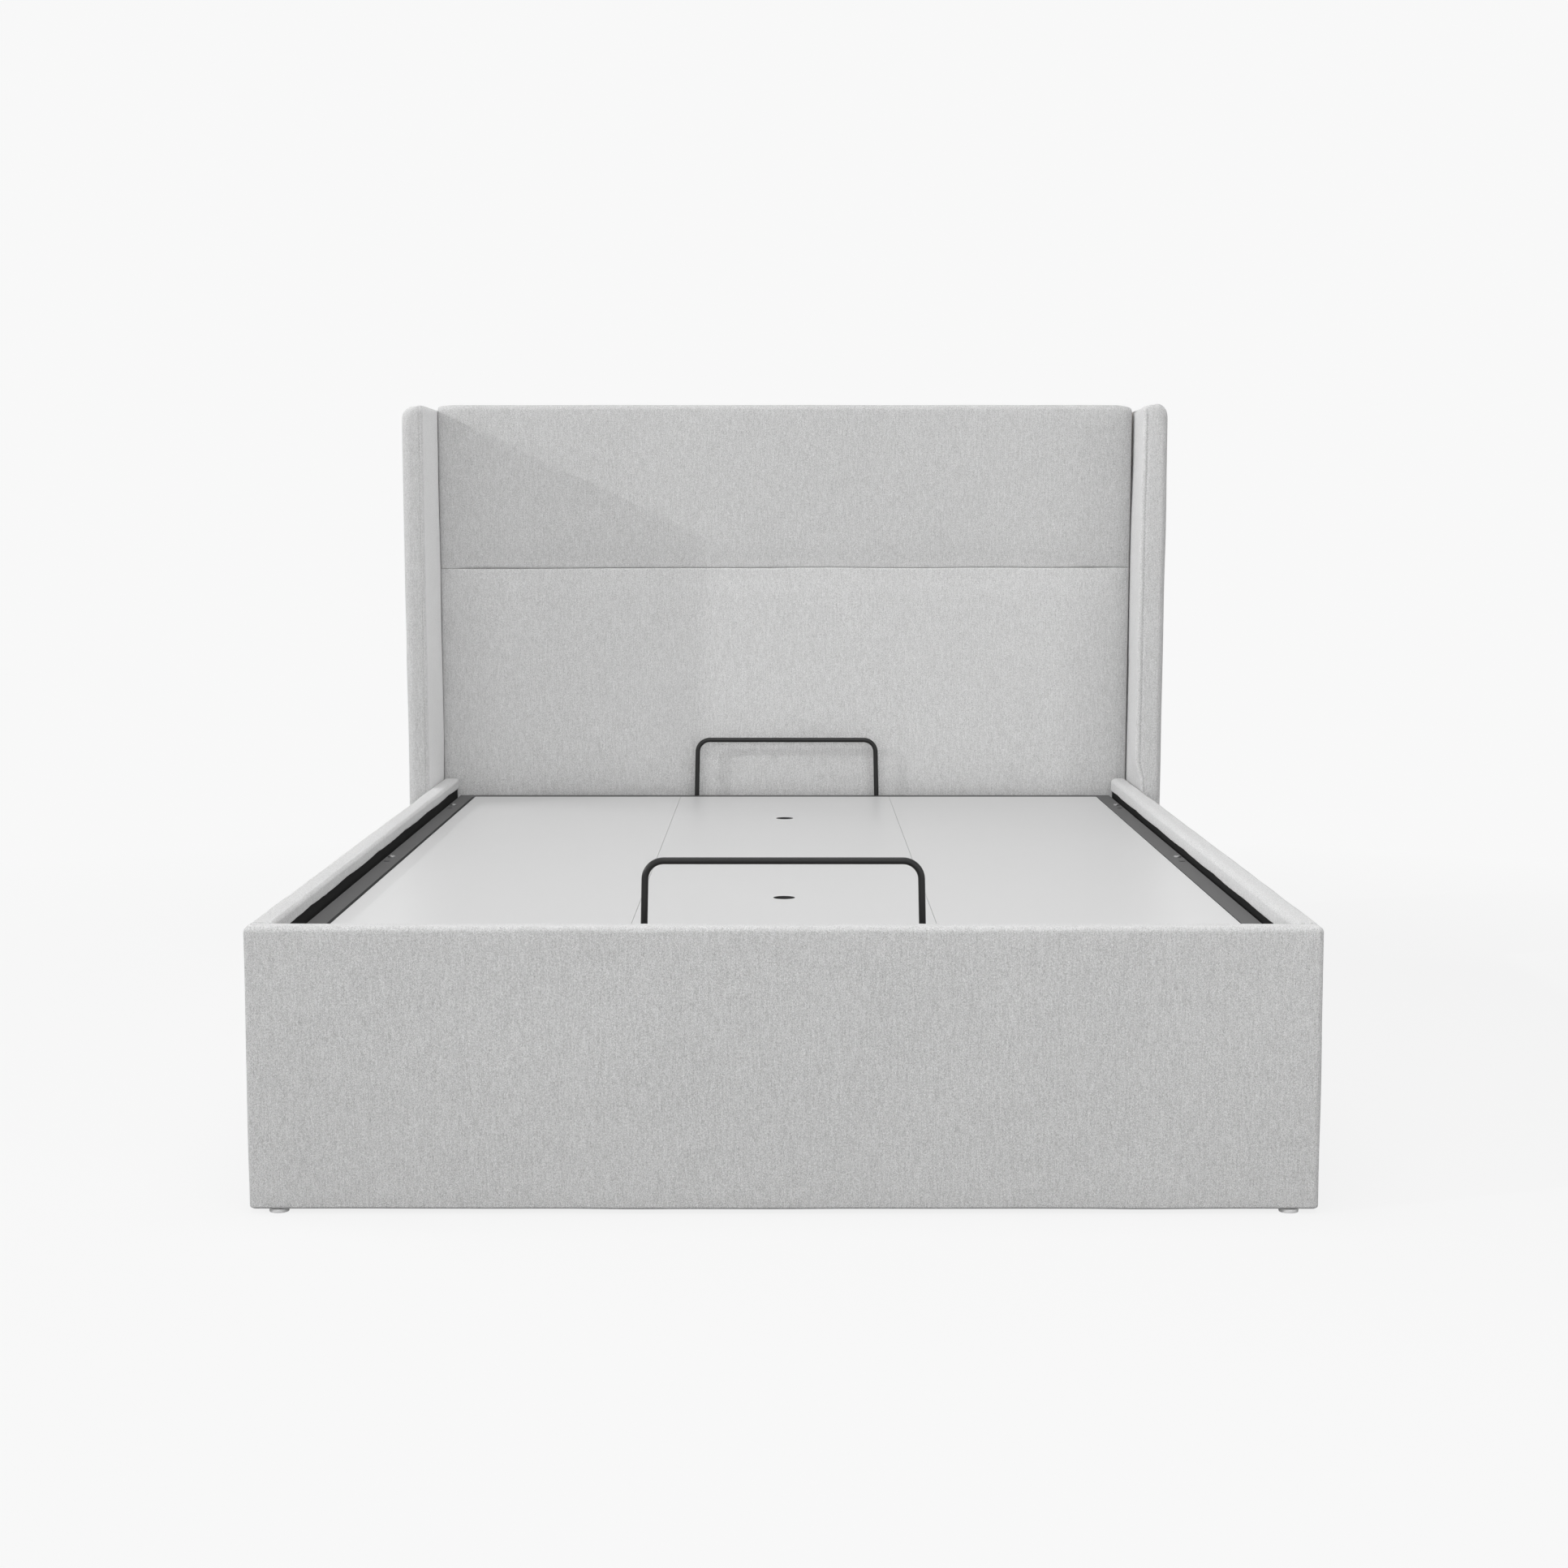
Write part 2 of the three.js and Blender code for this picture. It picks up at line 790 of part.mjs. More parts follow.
function mattressBar(y) {
  const path = barPath();
  const rings = path.map((centre, i) => {
    const before = path[Math.max(i - 1, 0)];
    const after = path[Math.min(i + 1, path.length - 1)];
    const direction = after.clone().sub(before).normalize();
    return circleRing(centre, barRodRadius, direction).map((p) => p.setY(p.y + y));
  });
  return loft(rings, flatCircle());
}

// Lift linkage, drawn for the right side; depth is measured from the rail's lining

function atDepth(depth) {
  return railFace - depth;
}

function pin(from, to, centre, radius) {
  return cylinderX(atDepth(to), atDepth(from), centre, radius);
}

function basePlate() {
  const low = floorBoardTop + seatGap;
  const shape = polygon([
    [pivotFront.y - basePlateMargin, low],
    [strutFoot.y + basePlateMargin, low],
    [strutFoot.y + basePlateMargin, strutFoot.z + basePlateMargin],
    [pivotRear.y + basePlateMargin, pivotRear.z + basePlateMargin],
    [pivotRear.y - basePlateMargin, pivotRear.z + basePlateMargin],
    [pivotFront.y - basePlateMargin, pivotFront.z + basePlateMargin],
  ]);
  const plate = plateAlongX(shape, atDepth(basePlateFace), atDepth(seatGap));
  const inside = basePlateFace - basePlateThickness / 2;
  const rearHead = rearArmLayer + armThickness + seatGap;
  const frontHead = frontArmLayer + armThickness + seatGap;
  return join(
    plate,
    pin(inside, rearArmLayer - seatGap, pivotRear, bossRadius),
    pin(inside, rearHead + pinHeadThickness / 2, pivotRear, pinRadius),
    pin(rearHead, rearHead + pinHeadThickness, pivotRear, pinHeadRadius),
    pin(inside, frontArmLayer - seatGap, pivotFront, bossRadius),
    pin(inside, frontHead + pinHeadThickness / 2, pivotFront, pinRadius),
    pin(frontHead, frontHead + pinHeadThickness, pivotFront, pinHeadRadius),
    ...strutStud(inside, strutFoot, 1),
    ...basePlateBolts().map(bolt),
  );
}

// A stud that carries a strut's eye: shoulder, stud and head, from the plate at depth start
function strutStud(start, centre, direction) {
  const shoulder = strutDepth - direction * (eyeWidth / 2 + seatGap);
  const far = strutDepth + direction * (eyeWidth / 2 + seatGap);
  const head = far + direction * studHeadThickness;
  const span = (a, b, radius) => pin(Math.min(a, b), Math.max(a, b), centre, radius);
  return [
    span(start, shoulder, studHeadRadius),
    span(start, far + (direction * studHeadThickness) / 2, studRadius),
    span(far, head, studHeadRadius),
  ];
}

function armHole(centre, radius) {
  return pin(-cutOverrun, frontArmLayer + armThickness + cutOverrun, centre, radius);
}

function rearArm() {
  const outline = linkShape(pivotRear, pivotPlatform, armHalfWidth);
  const arm = plateAlongX(outline, atDepth(rearArmLayer + armThickness), atDepth(rearArmLayer));
  const bored = cut(
    arm,
    armHole(pivotRear, pinRadius + pinPlay),
    armHole(pivotPlatform, pinRadius + pinPlay),
  );
  return join(bored, ...strutStud(rearArmLayer + armThickness / 2, strutTop, -1));
}

function frontArm() {
  const outline = linkShape(pivotFront, pivotPlatformFront, armHalfWidth);
  const arm = plateAlongX(outline, atDepth(frontArmLayer + armThickness), atDepth(frontArmLayer));
  return cut(
    arm,
    armHole(pivotFront, pinRadius + pinPlay),
    armHole(pivotPlatformFront, frontPinRadius + openPivotPlay),
  );
}

// The angle under the platform's side tube, with an ear that carries both arms
function topRail() {
  const head = platformHead - topRailHeadInset;
  const foot = head - topRailLength;
  const top = frameBottom - seatGap;
  const low = top - topRailDepth;
  const ear = plateAlongX(polygon([
    [foot, top],
    [foot, low],
    [pivotPlatformFront.y - 2 * earMargin, low],
    [pivotPlatformFront.y - earMargin, pivotPlatformFront.z - earMargin],
    [pivotPlatformFront.y + earMargin, pivotPlatformFront.z - earMargin],
    [pivotPlatform.y + 2 * earMargin, low],
    [head, low],
    [head, top],
  ]), atDepth(topRailLayer + topRailThickness), atDepth(topRailLayer));
  const flange = box(
    atDepth(topRailLayer + topRailThickness), frameHalf - tubeWall,
    foot, head,
    top - topRailThickness, top,
  );
  const middle = topRailLayer + topRailThickness / 2;
  const outerHead = rearArmLayer - seatGap;
  const innerHead = frontArmLayer + armThickness + seatGap;
  return join(
    ear,
    flange,
    pin(outerHead - pinHeadThickness / 2, middle, pivotPlatform, pinRadius),
    pin(outerHead - pinHeadThickness, outerHead, pivotPlatform, pinHeadRadius),
    pin(middle, innerHead + pinHeadThickness / 2, pivotPlatformFront, frontPinRadius),
    pin(innerHead, innerHead + pinHeadThickness, pivotPlatformFront, pinHeadRadius),
    ...topRailBolts().map(bolt),
  );
}

// Gas struts

function strutEye(centre, towards) {
  const half = eyeWidth / 2;
  const eye = pin(strutDepth - half, strutDepth + half, centre, eyeRadius);
  const start = eyeRadius - studRadius / 2;
  const neck = turned([
    [0, start],
    [strutNeckRadius, start],
    [strutNeckRadius, eyeRadius + strutNeckLength],
    [0, eyeRadius + strutNeckLength],
  ], atDepth(strutDepth), centre, towards);
  return join(eye, neck);
}

function eyeHole(centre) {
  return pin(-cutOverrun, rearArmLayer + cutOverrun, centre, studRadius + pinPlay);
}

function strutCylinder() {
  const bottom = eyeRadius + strutNeckLength - strutEndWall / 2;
  const mouth = bottom + strutTubeLength;
  const bore = strutRadius - strutWall;
  const tube = turned([
    [0, bottom],
    [strutRadius, bottom],
    [strutRadius, mouth],
    [rodRadius + rodPlay, mouth],
    [rodRadius + rodPlay, mouth - strutEndWall],
    [bore, mouth - strutEndWall],
    [bore, bottom + strutEndWall],
    [0, bottom + strutEndWall],
  ], atDepth(strutDepth), strutFoot, strutTop);
  return cut(join(tube, strutEye(strutFoot, strutTop)), eyeHole(strutFoot));
}

function strutRod() {
  const piston = strutRadius - strutWall - pistonPlay;
  const start = eyeRadius;
  const rod = turned([
    [0, start],
    [rodRadius, start],
    [rodRadius, rodReach - pistonLength],
    [piston, rodReach - pistonLength],
    [piston, rodReach],
    [0, rodReach],
  ], atDepth(strutDepth), strutTop, strutFoot);
  return cut(join(rod, strutEye(strutTop, strutFoot)), eyeHole(strutTop));
}

// Bolts, drawn for the right side. Each runs along an axis, with its head on the seat and its tip past it

function rodAlong(axis, centre, from, to, radius) {
  const geometry = new THREE.CylinderGeometry(radius, radius, Math.abs(to - from), rodSegments);
  if (axis === 'x') {
    geometry.rotateZ(Math.PI / 2);
  } else {
    geometry.rotateX(Math.PI / 2);
  }
  const place = { ...centre, [axis]: (from + to) / 2 };
  geometry.translate(place.x, place.y, place.z);
  return toSolid(geometry);
}

function bolt({ axis, centre, seat, tip }) {
  const top = seat + Math.sign(seat - tip) * boltHeadThickness;
  return join(
    rodAlong(axis, centre, tip, (seat + top) / 2, boltRadius),
    rodAlong(axis, centre, seat, top, boltHeadRadius),
  );
}

function drilled(solid, bolts) {
  const holes = bolts.map(({ axis, centre, seat, tip }) => {
    const beyond = Math.sign(seat - tip) * cutOverrun;
    return rodAlong(axis, centre, tip - beyond, seat + beyond, boltRadius + seatGap);
  });
  return cut(solid, ...holes);
}

// They hold the lift's base plate to the rail's board
function basePlateBolts() {
  const places = [
    point(pivotRear.y, pivotRear.z - basePlateBoltReach),
    point(pivotFront.y + basePlateBoltReach, pivotFront.z),
    point(strutFoot.y - basePlateBoltReach, strutFoot.z),
  ];
  return places.map((centre) => ({
    axis: 'x',
    centre,
    seat: atDepth(basePlateFace),
    tip: railCoreInner + boltBite,
  }));
}

// They hold the platform's side tube to the lift's top rail
function topRailBolts() {
  const head = platformHead - topRailHeadInset;
  const ends = [head - topRailLength + tubeBoltEndInset, head - tubeBoltEndInset];
  return ends.map((y) => ({
    axis: 'z',
    centre: { x: frameHalf - tubeBoltInset, y },
    seat: frameTop + seatGap,
    tip: frameBottom - seatGap - topRailThickness - tubeBoltTip,
  }));
}

// Finishes

function finish(color, roughness, metalness = 0) {
  return { color, roughness, metalness, side: THREE.FrontSide };
}

const fabric = finish(0xc4c4c4, 0.95);
const lining = finish(0x26262a, 0.95);
const boardCore = finish(0xb79a72, 0.8);
const timber = finish(0xc9ab7c, 0.75);
const laminate = finish(0xd6d6d6, 0.4);
const blackSteel = finish(0x5b5b5d, 0.5, 0.3);
const blackRod = finish(0x2a2a2c, 0.45, 0.3);
const bareSteel = finish(0x9a9c9f, 0.35, 0.9);
const plastic = finish(0x1d1d1f, 0.6);

const bed = new THREE.Group();
bed.position.y = -totalLength / 2;

function add(name, solid, look) {
  const mesh = new THREE.Mesh(toGeometry(solid), new THREE.MeshStandardMaterial(look));
  mesh.name = name;
  bed.add(mesh);
}

function addPair(name, solid, look) {
  add(`right_${name}`, solid, look);
  add(`left_${name}`, mirrored(solid), look);
}

// Base
add('foot_panel_board', footPanelBoard(), boardCore);
add('foot_panel_cover', footPanelCover(), fabric);
add('foot_panel_lining', footPanelLining(), lining);
addPair('rail_board', drilled(railBoard(), basePlateBolts()), boardCore);
addPair('rail_cover', railCover(), fabric);
addPair('rail_lining', drilled(railLining(), basePlateBolts()), lining);
addPair('foot_corner_block', footCornerBlock(), timber);
addPair('head_corner_block', headCornerBlock(), timber);
addPair('foot_glide', footGlide(), plastic);
addPair('head_glide', headGlide(), plastic);
add('rest_batten', restBatten(), timber);
addPair('floor_ledger', floorLedger(), timber);
addPair('floor_board', floorBoard(), boardCore);
add('centre_batten', centreBatten(), timber);

// Headboard and wings
addPair('headboard_stile', headboardStile(), timber);
add('headboard_top_rail', headboardRail(timberTop - timberRailHeight), timber);
add('headboard_bottom_rail', headboardRail(glideHeight + timberFootHeight), timber);
add('headboard_panel', headboardPanel(), boardCore);
add('headboard_upper_pad', upperPad(), fabric);
add('headboard_lower_pad', lowerPad(), fabric);
add('headboard_back_lining', backLining(), lining);
addPair('wing_board', wingBoard(), boardCore);
addPair('wing_cover', wingCover(), fabric);

// Platform
addPair('platform_side_tube', drilled(sideTube(), topRailBolts()), blackSteel);
add('platform_foot_tube', footTube(), blackSteel);
add('platform_head_tube', headTube(), blackSteel);
for (let i = 1; i <= crossTubeCount; i += 1) {
  const place = boardsFoot + ((boardsHead - boardsFoot) * i) / (crossTubeCount + 1);
  add(`platform_cross_tube_${i}`, crossTube(place), blackSteel);
}
addPair('platform_board', sideBoard(), laminate);
add('centre_board', centreBoard(), laminate);
add('foot_mattress_bar', mattressBar(footBarY()), blackRod);
add('head_mattress_bar', mattressBar(headBarY()), blackRod);

// Lift linkage
addPair('lift_base_plate', basePlate(), blackSteel);
addPair('lift_rear_arm', rearArm(), blackSteel);
addPair('lift_front_arm', frontArm(), blackSteel);
addPair('lift_top_rail', topRail(), blackSteel);
addPair('strut_cylinder', strutCylinder(), blackRod);
addPair('strut_rod', strutRod(), bareSteel);

export default bed;
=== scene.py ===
"""The looks of an upholstered storage bed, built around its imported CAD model.

Metres and radians, +Z up, in the CAD model's own frame: the foot panel faces -Y and the headboard stands at +Y.
"""

import json
import math

import bmesh
import bpy
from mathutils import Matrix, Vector, noise
from mathutils.bvhtree import BVHTree

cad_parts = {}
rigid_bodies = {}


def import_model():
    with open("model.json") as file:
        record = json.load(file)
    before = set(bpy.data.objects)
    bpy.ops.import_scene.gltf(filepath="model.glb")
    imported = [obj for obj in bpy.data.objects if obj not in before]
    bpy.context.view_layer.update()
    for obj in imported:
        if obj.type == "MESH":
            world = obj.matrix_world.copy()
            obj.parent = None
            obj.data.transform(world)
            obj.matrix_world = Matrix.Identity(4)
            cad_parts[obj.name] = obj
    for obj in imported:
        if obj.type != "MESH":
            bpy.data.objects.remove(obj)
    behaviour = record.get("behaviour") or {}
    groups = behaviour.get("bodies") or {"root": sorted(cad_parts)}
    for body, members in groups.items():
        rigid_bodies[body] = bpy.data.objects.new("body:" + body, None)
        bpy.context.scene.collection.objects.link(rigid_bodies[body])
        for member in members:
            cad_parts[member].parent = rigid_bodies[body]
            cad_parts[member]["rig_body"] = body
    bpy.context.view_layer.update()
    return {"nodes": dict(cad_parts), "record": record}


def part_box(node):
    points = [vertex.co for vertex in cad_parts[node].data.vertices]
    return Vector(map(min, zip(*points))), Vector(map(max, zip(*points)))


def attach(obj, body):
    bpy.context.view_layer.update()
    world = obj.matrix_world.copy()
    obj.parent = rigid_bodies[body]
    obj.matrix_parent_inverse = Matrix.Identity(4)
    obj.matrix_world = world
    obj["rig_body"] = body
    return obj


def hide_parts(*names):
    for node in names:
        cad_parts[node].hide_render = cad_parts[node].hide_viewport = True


# Each side's direction away from the bed's middle
OUTWARD = {"left": -1, "right": 1}

# Camera, fitted to the picture's straight edges: its place is measured from the foot panel's face and lower edge
IMAGE_WIDTH = 1932
FOCAL_PIXELS = 3088
SENSOR_WIDTH = 36
CAMERA_SIDE = 0.0037
CAMERA_BACK = 3.454
CAMERA_ABOVE_PANEL_FOOT = 0.961
CAMERA_PITCH = math.radians(5.90)
CAMERA_YAW = 0.001
CAMERA_REACH = 100

# Stage and light: lamps are name, place, aim, width, height and watts
SKY = 0.40
BACKDROP = 0.94
FLOOR_GLOW = 0.835
FLOOR_SEEN = 0.09
FLOOR_BOUNCE = 0.3
FLOOR_HALF = 30
FLOOR_FADE = (1.7, 3.4)
KEY_PLACE = (0, 0, 3)
KEY_DIRECTION = (0.589, 0.216, -0.277)
KEY_STRENGTH = 0.78
KEY_SOFTNESS = math.radians(1.2)
SOFT_LAMPS = (
    ("front_near", (0.0, -3.2, 2.6), (0, -1.0, 0.3), 2.4, 1.0, 25.5),
    ("front_low", (0.0, -6.0, 1.2), (0, 0, 0.6), 3.0, 1.6, 26),
    ("overhead", (0.0, -0.8, 4.4), (0, 0.2, 0.4), 2.4, 2.0, 46.5),
    ("over_headboard", (0.0, -0.7, 2.3), (0, 0.9, 0.6), 1.8, 0.7, 5.8),
    ("left_side", (-4.5, 1.2, 2.4), (0, 0.9, 0.7), 2.4, 2.0, 70),
    ("left_front", (-3.5, -4.5, 1.8), (0, 0.9, 0.8), 2.0, 1.5, 27),
    ("right_front", (3.5, -4.5, 1.8), (0, 0.9, 0.8), 2.0, 1.5, 45),
)

# Sockets of the shader groups
COLOR, NUMBER, VECTOR = "NodeSocketColor", "NodeSocketFloat", "NodeSocketVector"

# Textures are turned, so that no face of the bed runs along their own grid. A small stretch draws them out
TURN_UPRIGHT = (0, 0, 0.6)
TURN_ALL_WAYS = (0.6, 0.4, 0.9)
EVEN_STRETCH = (1, 1, 1)
KNOT_STRETCH = (1, 1, 0.7)
HAIR_STRETCH = (1, 1, 0.8)
ROW_STRETCH = (0.6, 0.6, 0.05)
DRIFT_STRETCH = (1, 1, 0.5)
NOISE_RANGE = (0.3, 0.7)
KNOT_RANGE = (0.75, 0.1)
KNOT_TONE_SHARE = 0.45
HAIR_SHARE = 0.3
TONE_DRIFT_SCALE = 5
GLOSS_DRIFT_SCALE = 7

# Cloths: name, light and dark grey, loops per metre, share of the rows, drift, bump strength, bump depth, sheen
CHENILLE = (900, 0.13, 0.02, 0.7, 0.001)
CLOTHS = {
    "fabric": ("light_grey_chenille", 1.0, 0.24, *CHENILLE, 0.4),
    # The upper pad's and the wings' cloths are the same chenille as the rest, made darker, with more sheen on the
    # wings: painted shade and light that follow how light falls on these pieces, not another cloth or nap.
    "fabric_upper_pad_painted_shade": ("light_grey_chenille_upper_pad_painted_shade", 0.93, 0.22, *CHENILLE, 0.4),
    "fabric_right_wing": ("light_grey_chenille_right_wing_painted_shade", 0.98, 0.235, *CHENILLE, 0.8),
    "fabric_left_wing": ("light_grey_chenille_left_wing_painted_shade", 0.89, 0.215, *CHENILLE, 1.0),
    "thread": ("grey_stitching_thread", 0.48, 0.36, 1500, 0, 0, 0.2, 0.0002, 0.1),
    "lining": ("black_lining_cloth", 0.017, 0.009, 900, 0.1, 0.3, 0.3, 0.0003, 0),
}
CLOTH_SHADING = {"Roughness": 0.95, "Specular IOR Level": 0.15, "Sheen Roughness": 0.6}

# Coats: name, grey, roughness, speckle, speckles per metre, bump depth, drift of gloss, further shading
COATS = {
    "laminate": ("white_laminate", 0.605, 0.36, 0.03, 700, 0.00001, 0.02, {}),
    # The edge band is painted lighter than the laminate: a painted highlight along the boards' eased edges.
    "edging_painted_highlight": ("white_edge_band_painted_highlight", 0.90, 0.3, 0.02, 900, 0.00001, 0.05, {}),
    "frame": ("grey_frame_coat", 0.11, 0.8, 0.12, 1200, 0.00005, 0.1, {"Specular IOR Level": 0.3}),
    "rod": ("black_rod_coat", 0.008, 0.42, 0.1, 1400, 0.00003, 0.1, {"Specular IOR Level": 0.3}),
    # Black painted shade: the finger holes' walls, the strips beside the side tubes and the disks over the tubes'
    # open holes take it, where these holes and gaps lie in shade.
    "painted_shade_black": ("black_painted_shade", 0.02, 0.5, 0.1, 1500, 0.00004, 0.1, {}),
    "plastic": ("pale_glide_plastic", 0.7, 0.5, 0.05, 1500, 0.00004, 0.1, {}),
    "steel": ("polished_steel", 0.62, 0.22, 0.05, 1500, 0.00001, 0.1, {"Metallic": 1}),
    "zinc": ("zinc_bolts", 0.26, 0.55, 0.2, 1500, 0.00002, 0.1, {"Metallic": 1}),
}
COAT_BUMP = 0.3

# Woods: name, light and dark tone, stretch of the fibres, fibres per metre
PINE = (0.66, 0.48, 0.28, 1), (0.50, 0.33, 0.17, 1)
FLAKES = (0.52, 0.41, 0.28, 1), (0.34, 0.25, 0.16, 1)
WOODS = {
    "timber_x": ("pine_along_x", *PINE, (0.06, 1, 1), 90),
    "timber_y": ("pine_along_y", *PINE, (1, 0.06, 1), 90),
    "timber_z": ("pine_upright", *PINE, (1, 1, 0.06), 90),
    "board": ("pressed_board", *FLAKES, EVEN_STRETCH, 260),
}
WOOD_ROUGHNESS = 0.75
WOOD_BUMP = (0.25, 0.0004)
WOOD_DETAIL = {"Detail": 6, "Roughness": 0.65}

# Which finish each material slot of the CAD takes, and which way the grain of its timber runs
FINISHES = {
    "grey_painted_steel": "frame",
    "black_painted_steel": "rod",
    "polished_steel": "steel",
    "glide_plastic": "plastic",
    "board_core": "board",
}
TIMBER_GRAIN = {
    "rest_batten": "timber_x",
    "headboard_top_rail": "timber_x",
    "headboard_bottom_rail": "timber_x",
    "left_floor_ledger": "timber_y",
    "right_floor_ledger": "timber_y",
    "centre_batten": "timber_y",
}
SHAPED_SLOTS = ("upholstery_fabric", "black_lining", "white_laminate")
SHAPED_PARTS = ("foot_mattress_bar", "head_mattress_bar", "left_wing_board", "right_wing_board")

# Fabric covers
PANEL_CORNER = 0.009
PANEL_EDGE = 0.008
PANEL_FOOT_EDGE = 0.005
RAIL_OUTER_EDGE = 0.009
RAIL_INNER_EDGE = {"left": 0.006, "right": 0.012}
RAIL_END_EDGE = 0.003
COVER_STEPS = (0.02, 0.02, 0.02)
COVER_CROWN = 0.0012
FLAP_DEPTH = {"left": 0.0215, "right": 0.0275, "foot": 0.022}
FLAP_THICKNESS = 0.005
FLAP_ROLL = 0.002
FLAP_WAVE = 0.003
FLAP_FRAY = 0.0006
FLAP_TUCK_PITCH = 0.31
FLAP_SEED = {"left": 1.3, "right": 0.4, "foot": 2.0}
FLAP_STEP = 0.008
FOOT_HEM = 0.015
RAIL_HEM = 0.005
CUT_OVERRUN = 0.004

# Pads
PAD_SIDE_DROP = 0.018
PAD_SIDE_ROLL = 0.08
PAD_SEAM_DROP = 0.008
PAD_SEAM_ROLL = 0.006
PAD_SWELL = 0.003
PAD_SWELL_REACH = 0.09
PAD_LEAN = 0.006
PAD_TOP_RADIUS = 0.012
PAD_TOP_DROP = {"left": 0.005, "right": 0.0095}
PAD_TOP_ROLL = 0.042
PAD_SEAM_FADE_START = {"left": 0.05, "right": 0.01}
PAD_SEAM_FADE_END = {"left": 0.034, "right": 0.001}
PAD_WRINKLE = 0.0011
PAD_STEP = 0.014
PAD_BODY = 0.045
PAD_CLEARANCE = 0.0003
PAD_SAG = 0.0008
SEAM_STATIONS = [PAD_SEAM_ROLL * share for share in (0, 0.02, 0.08, 0.2, 0.4, 0.65, 1, 1.6)]
SIDE_STATIONS = [PAD_SIDE_ROLL * share for share in (0, 0.01, 0.03, 0.07, 0.13, 0.21, 0.32, 0.45, 0.6, 0.8, 1)]
SEAM_SINK = 0.0022
SEAM_WANDER = 0.0011
SEAM_TIGHTNESS = 0.32
SEAM_TIGHTNESS_SWING = 0.16
SEAM_TIGHT_SPOTS = ((-0.62, 0.09, 0.5), (0.67, 0.03, 0.45), (-0.03, 0.012, 0.3))
STUFFING_STEP = 0.012
STUFFING_ROUND = 0.012
STUFFING_PRESSURE = 4
STUFFING_FRAMES = 20

# Wings
WING_OUTER_RADIUS = {"left": 0.020, "right": 0.013}
WING_CROWN_RADIUS = 0.022
WING_TOP_RADIUS = 0.026
WING_INNER_RADIUS = 0.005
WING_FRONT_INNER_RADIUS = 0.007
WING_FRONT_RADIUS = 0.016
WING_BACK_RADIUS = 0.006
WING_TOP_INNER_RADIUS = 0.009
WING_LEAN = 0.0045
WING_LEAN_HEIGHTS = (0.2, 1.2)
WING_PEAK_RISE = {"left": 0.0006, "right": 0.006}
WING_INNER_FALL = {"left": -0.004, "right": 0.0}
WING_INNER_SHIFT = {"left": 0.0, "right": 0.002}
WING_TOP_SHIFT = {"left": 0.0, "right": 0.003}
WING_TOP_SHIFT_HEIGHTS = (0.9, 1.2)
WING_PEAK_SHARE = 0.55
LEANING_PARTS = ("left_headboard_stile", "right_headboard_stile", "headboard_panel", "headboard_top_rail")
LEAN_CUTS = (0.35, 0.5, 0.65, 0.8, 0.95, 1.1)
WING_TOP_ZONE = 0.05
STITCH_LENGTH = 0.0042
STITCH_PITCH = 0.0066
STITCH_RADIUS = 0.0006
STITCH_START = 0.02
STITCH_END = 0.014
WING_SEAM_IN = 0.0075
WING_INNER_TOE = {"left": 0.0, "right": 0.013}
WING_TOE_HEIGHTS = (0.42, 0.47)
WING_TOE_END = 0.09
WING_SEAM_REACH = 0.0016
WING_SEAM_STATIONS = [WING_SEAM_IN + WING_SEAM_REACH * share for share in (-1.2, -0.6, 0, 0.6, 1.2, 2)]
WING_SEAM_DEPTH = 0.0014
WING_STEPS = (0.006, 0.014, 0.02)
WING_BOARD_ROUND = 0.012

# Hard parts
EDGE_EASE = 0.0009
BOARD_EASE = 0.0016
BOARD_SHRINK = 0.0007
BOARD_LEFT_GAP = 0.0050
# Black strips of painted shade between the boards and the side tubes
SHADE_STRIP_THICKNESS = 0.0006
SHADE_STRIP_WIDTH = 0.008
SHADE_STRIP_INSET = 0.0004
BOARD_SEAM_CLOSE = 0.0001
HOLE_WALL = 0.0002
EASE_ANGLE = math.radians(35)
SHARP_ANGLE = math.radians(42)
FLAT_ANGLE = math.radians(0.5)
WELD = 0.00001
BAR_BEND = 0.026
BAR_LEAN = 0.0035
BAR_RISE = {"foot_mattress_bar": 0.0017, "head_mattress_bar": 0.007}
BAR_WIDEN = {"foot_mattress_bar": 0.003, "head_mattress_bar": 0.0014}
BAR_SHIFT = {"foot_mattress_bar": -0.0009, "head_mattress_bar": 0.004}
BAR_SIDES = 32
BEND_STEPS = 12
BOLT_INSET = 0.010
BOLT_END_INSET = 0.081
BOLT_HEAD_RADIUS = 0.0068
BOLT_HEAD_HEIGHT = 0.0034
BOLT_SOCKET_RADIUS = 0.0028
BOLT_SOCKET_DEPTH = 0.0016
BOLT_PROFILE = (
    (BOLT_HEAD_RADIUS, 0.0001),
    (BOLT_HEAD_RADIUS, 0.0012),
    (BOLT_HEAD_RADIUS * 0.93, 0.0023),
    (BOLT_HEAD_RADIUS * 0.75, 0.0031),
    (BOLT_SOCKET_RADIUS * 1.25, BOLT_HEAD_HEIGHT),
    (BOLT_SOCKET_RADIUS, BOLT_HEAD_HEIGHT - 0.0002),
    (BOLT_SOCKET_RADIUS * 0.96, BOLT_HEAD_HEIGHT - BOLT_SOCKET_DEPTH),
)
# Black disks of painted shade over the side tubes' open holes
SHADE_DISK_SPACING = 0.055
SHADE_DISK_RADIUS = 0.0055
SHADE_DISK_PROFILE = ((SHADE_DISK_RADIUS, 0.0001), (SHADE_DISK_RADIUS, 0.0006), (SHADE_DISK_RADIUS * 0.7, 0.001), (0.0005, 0.0011))
TURNED_SIDES = 24

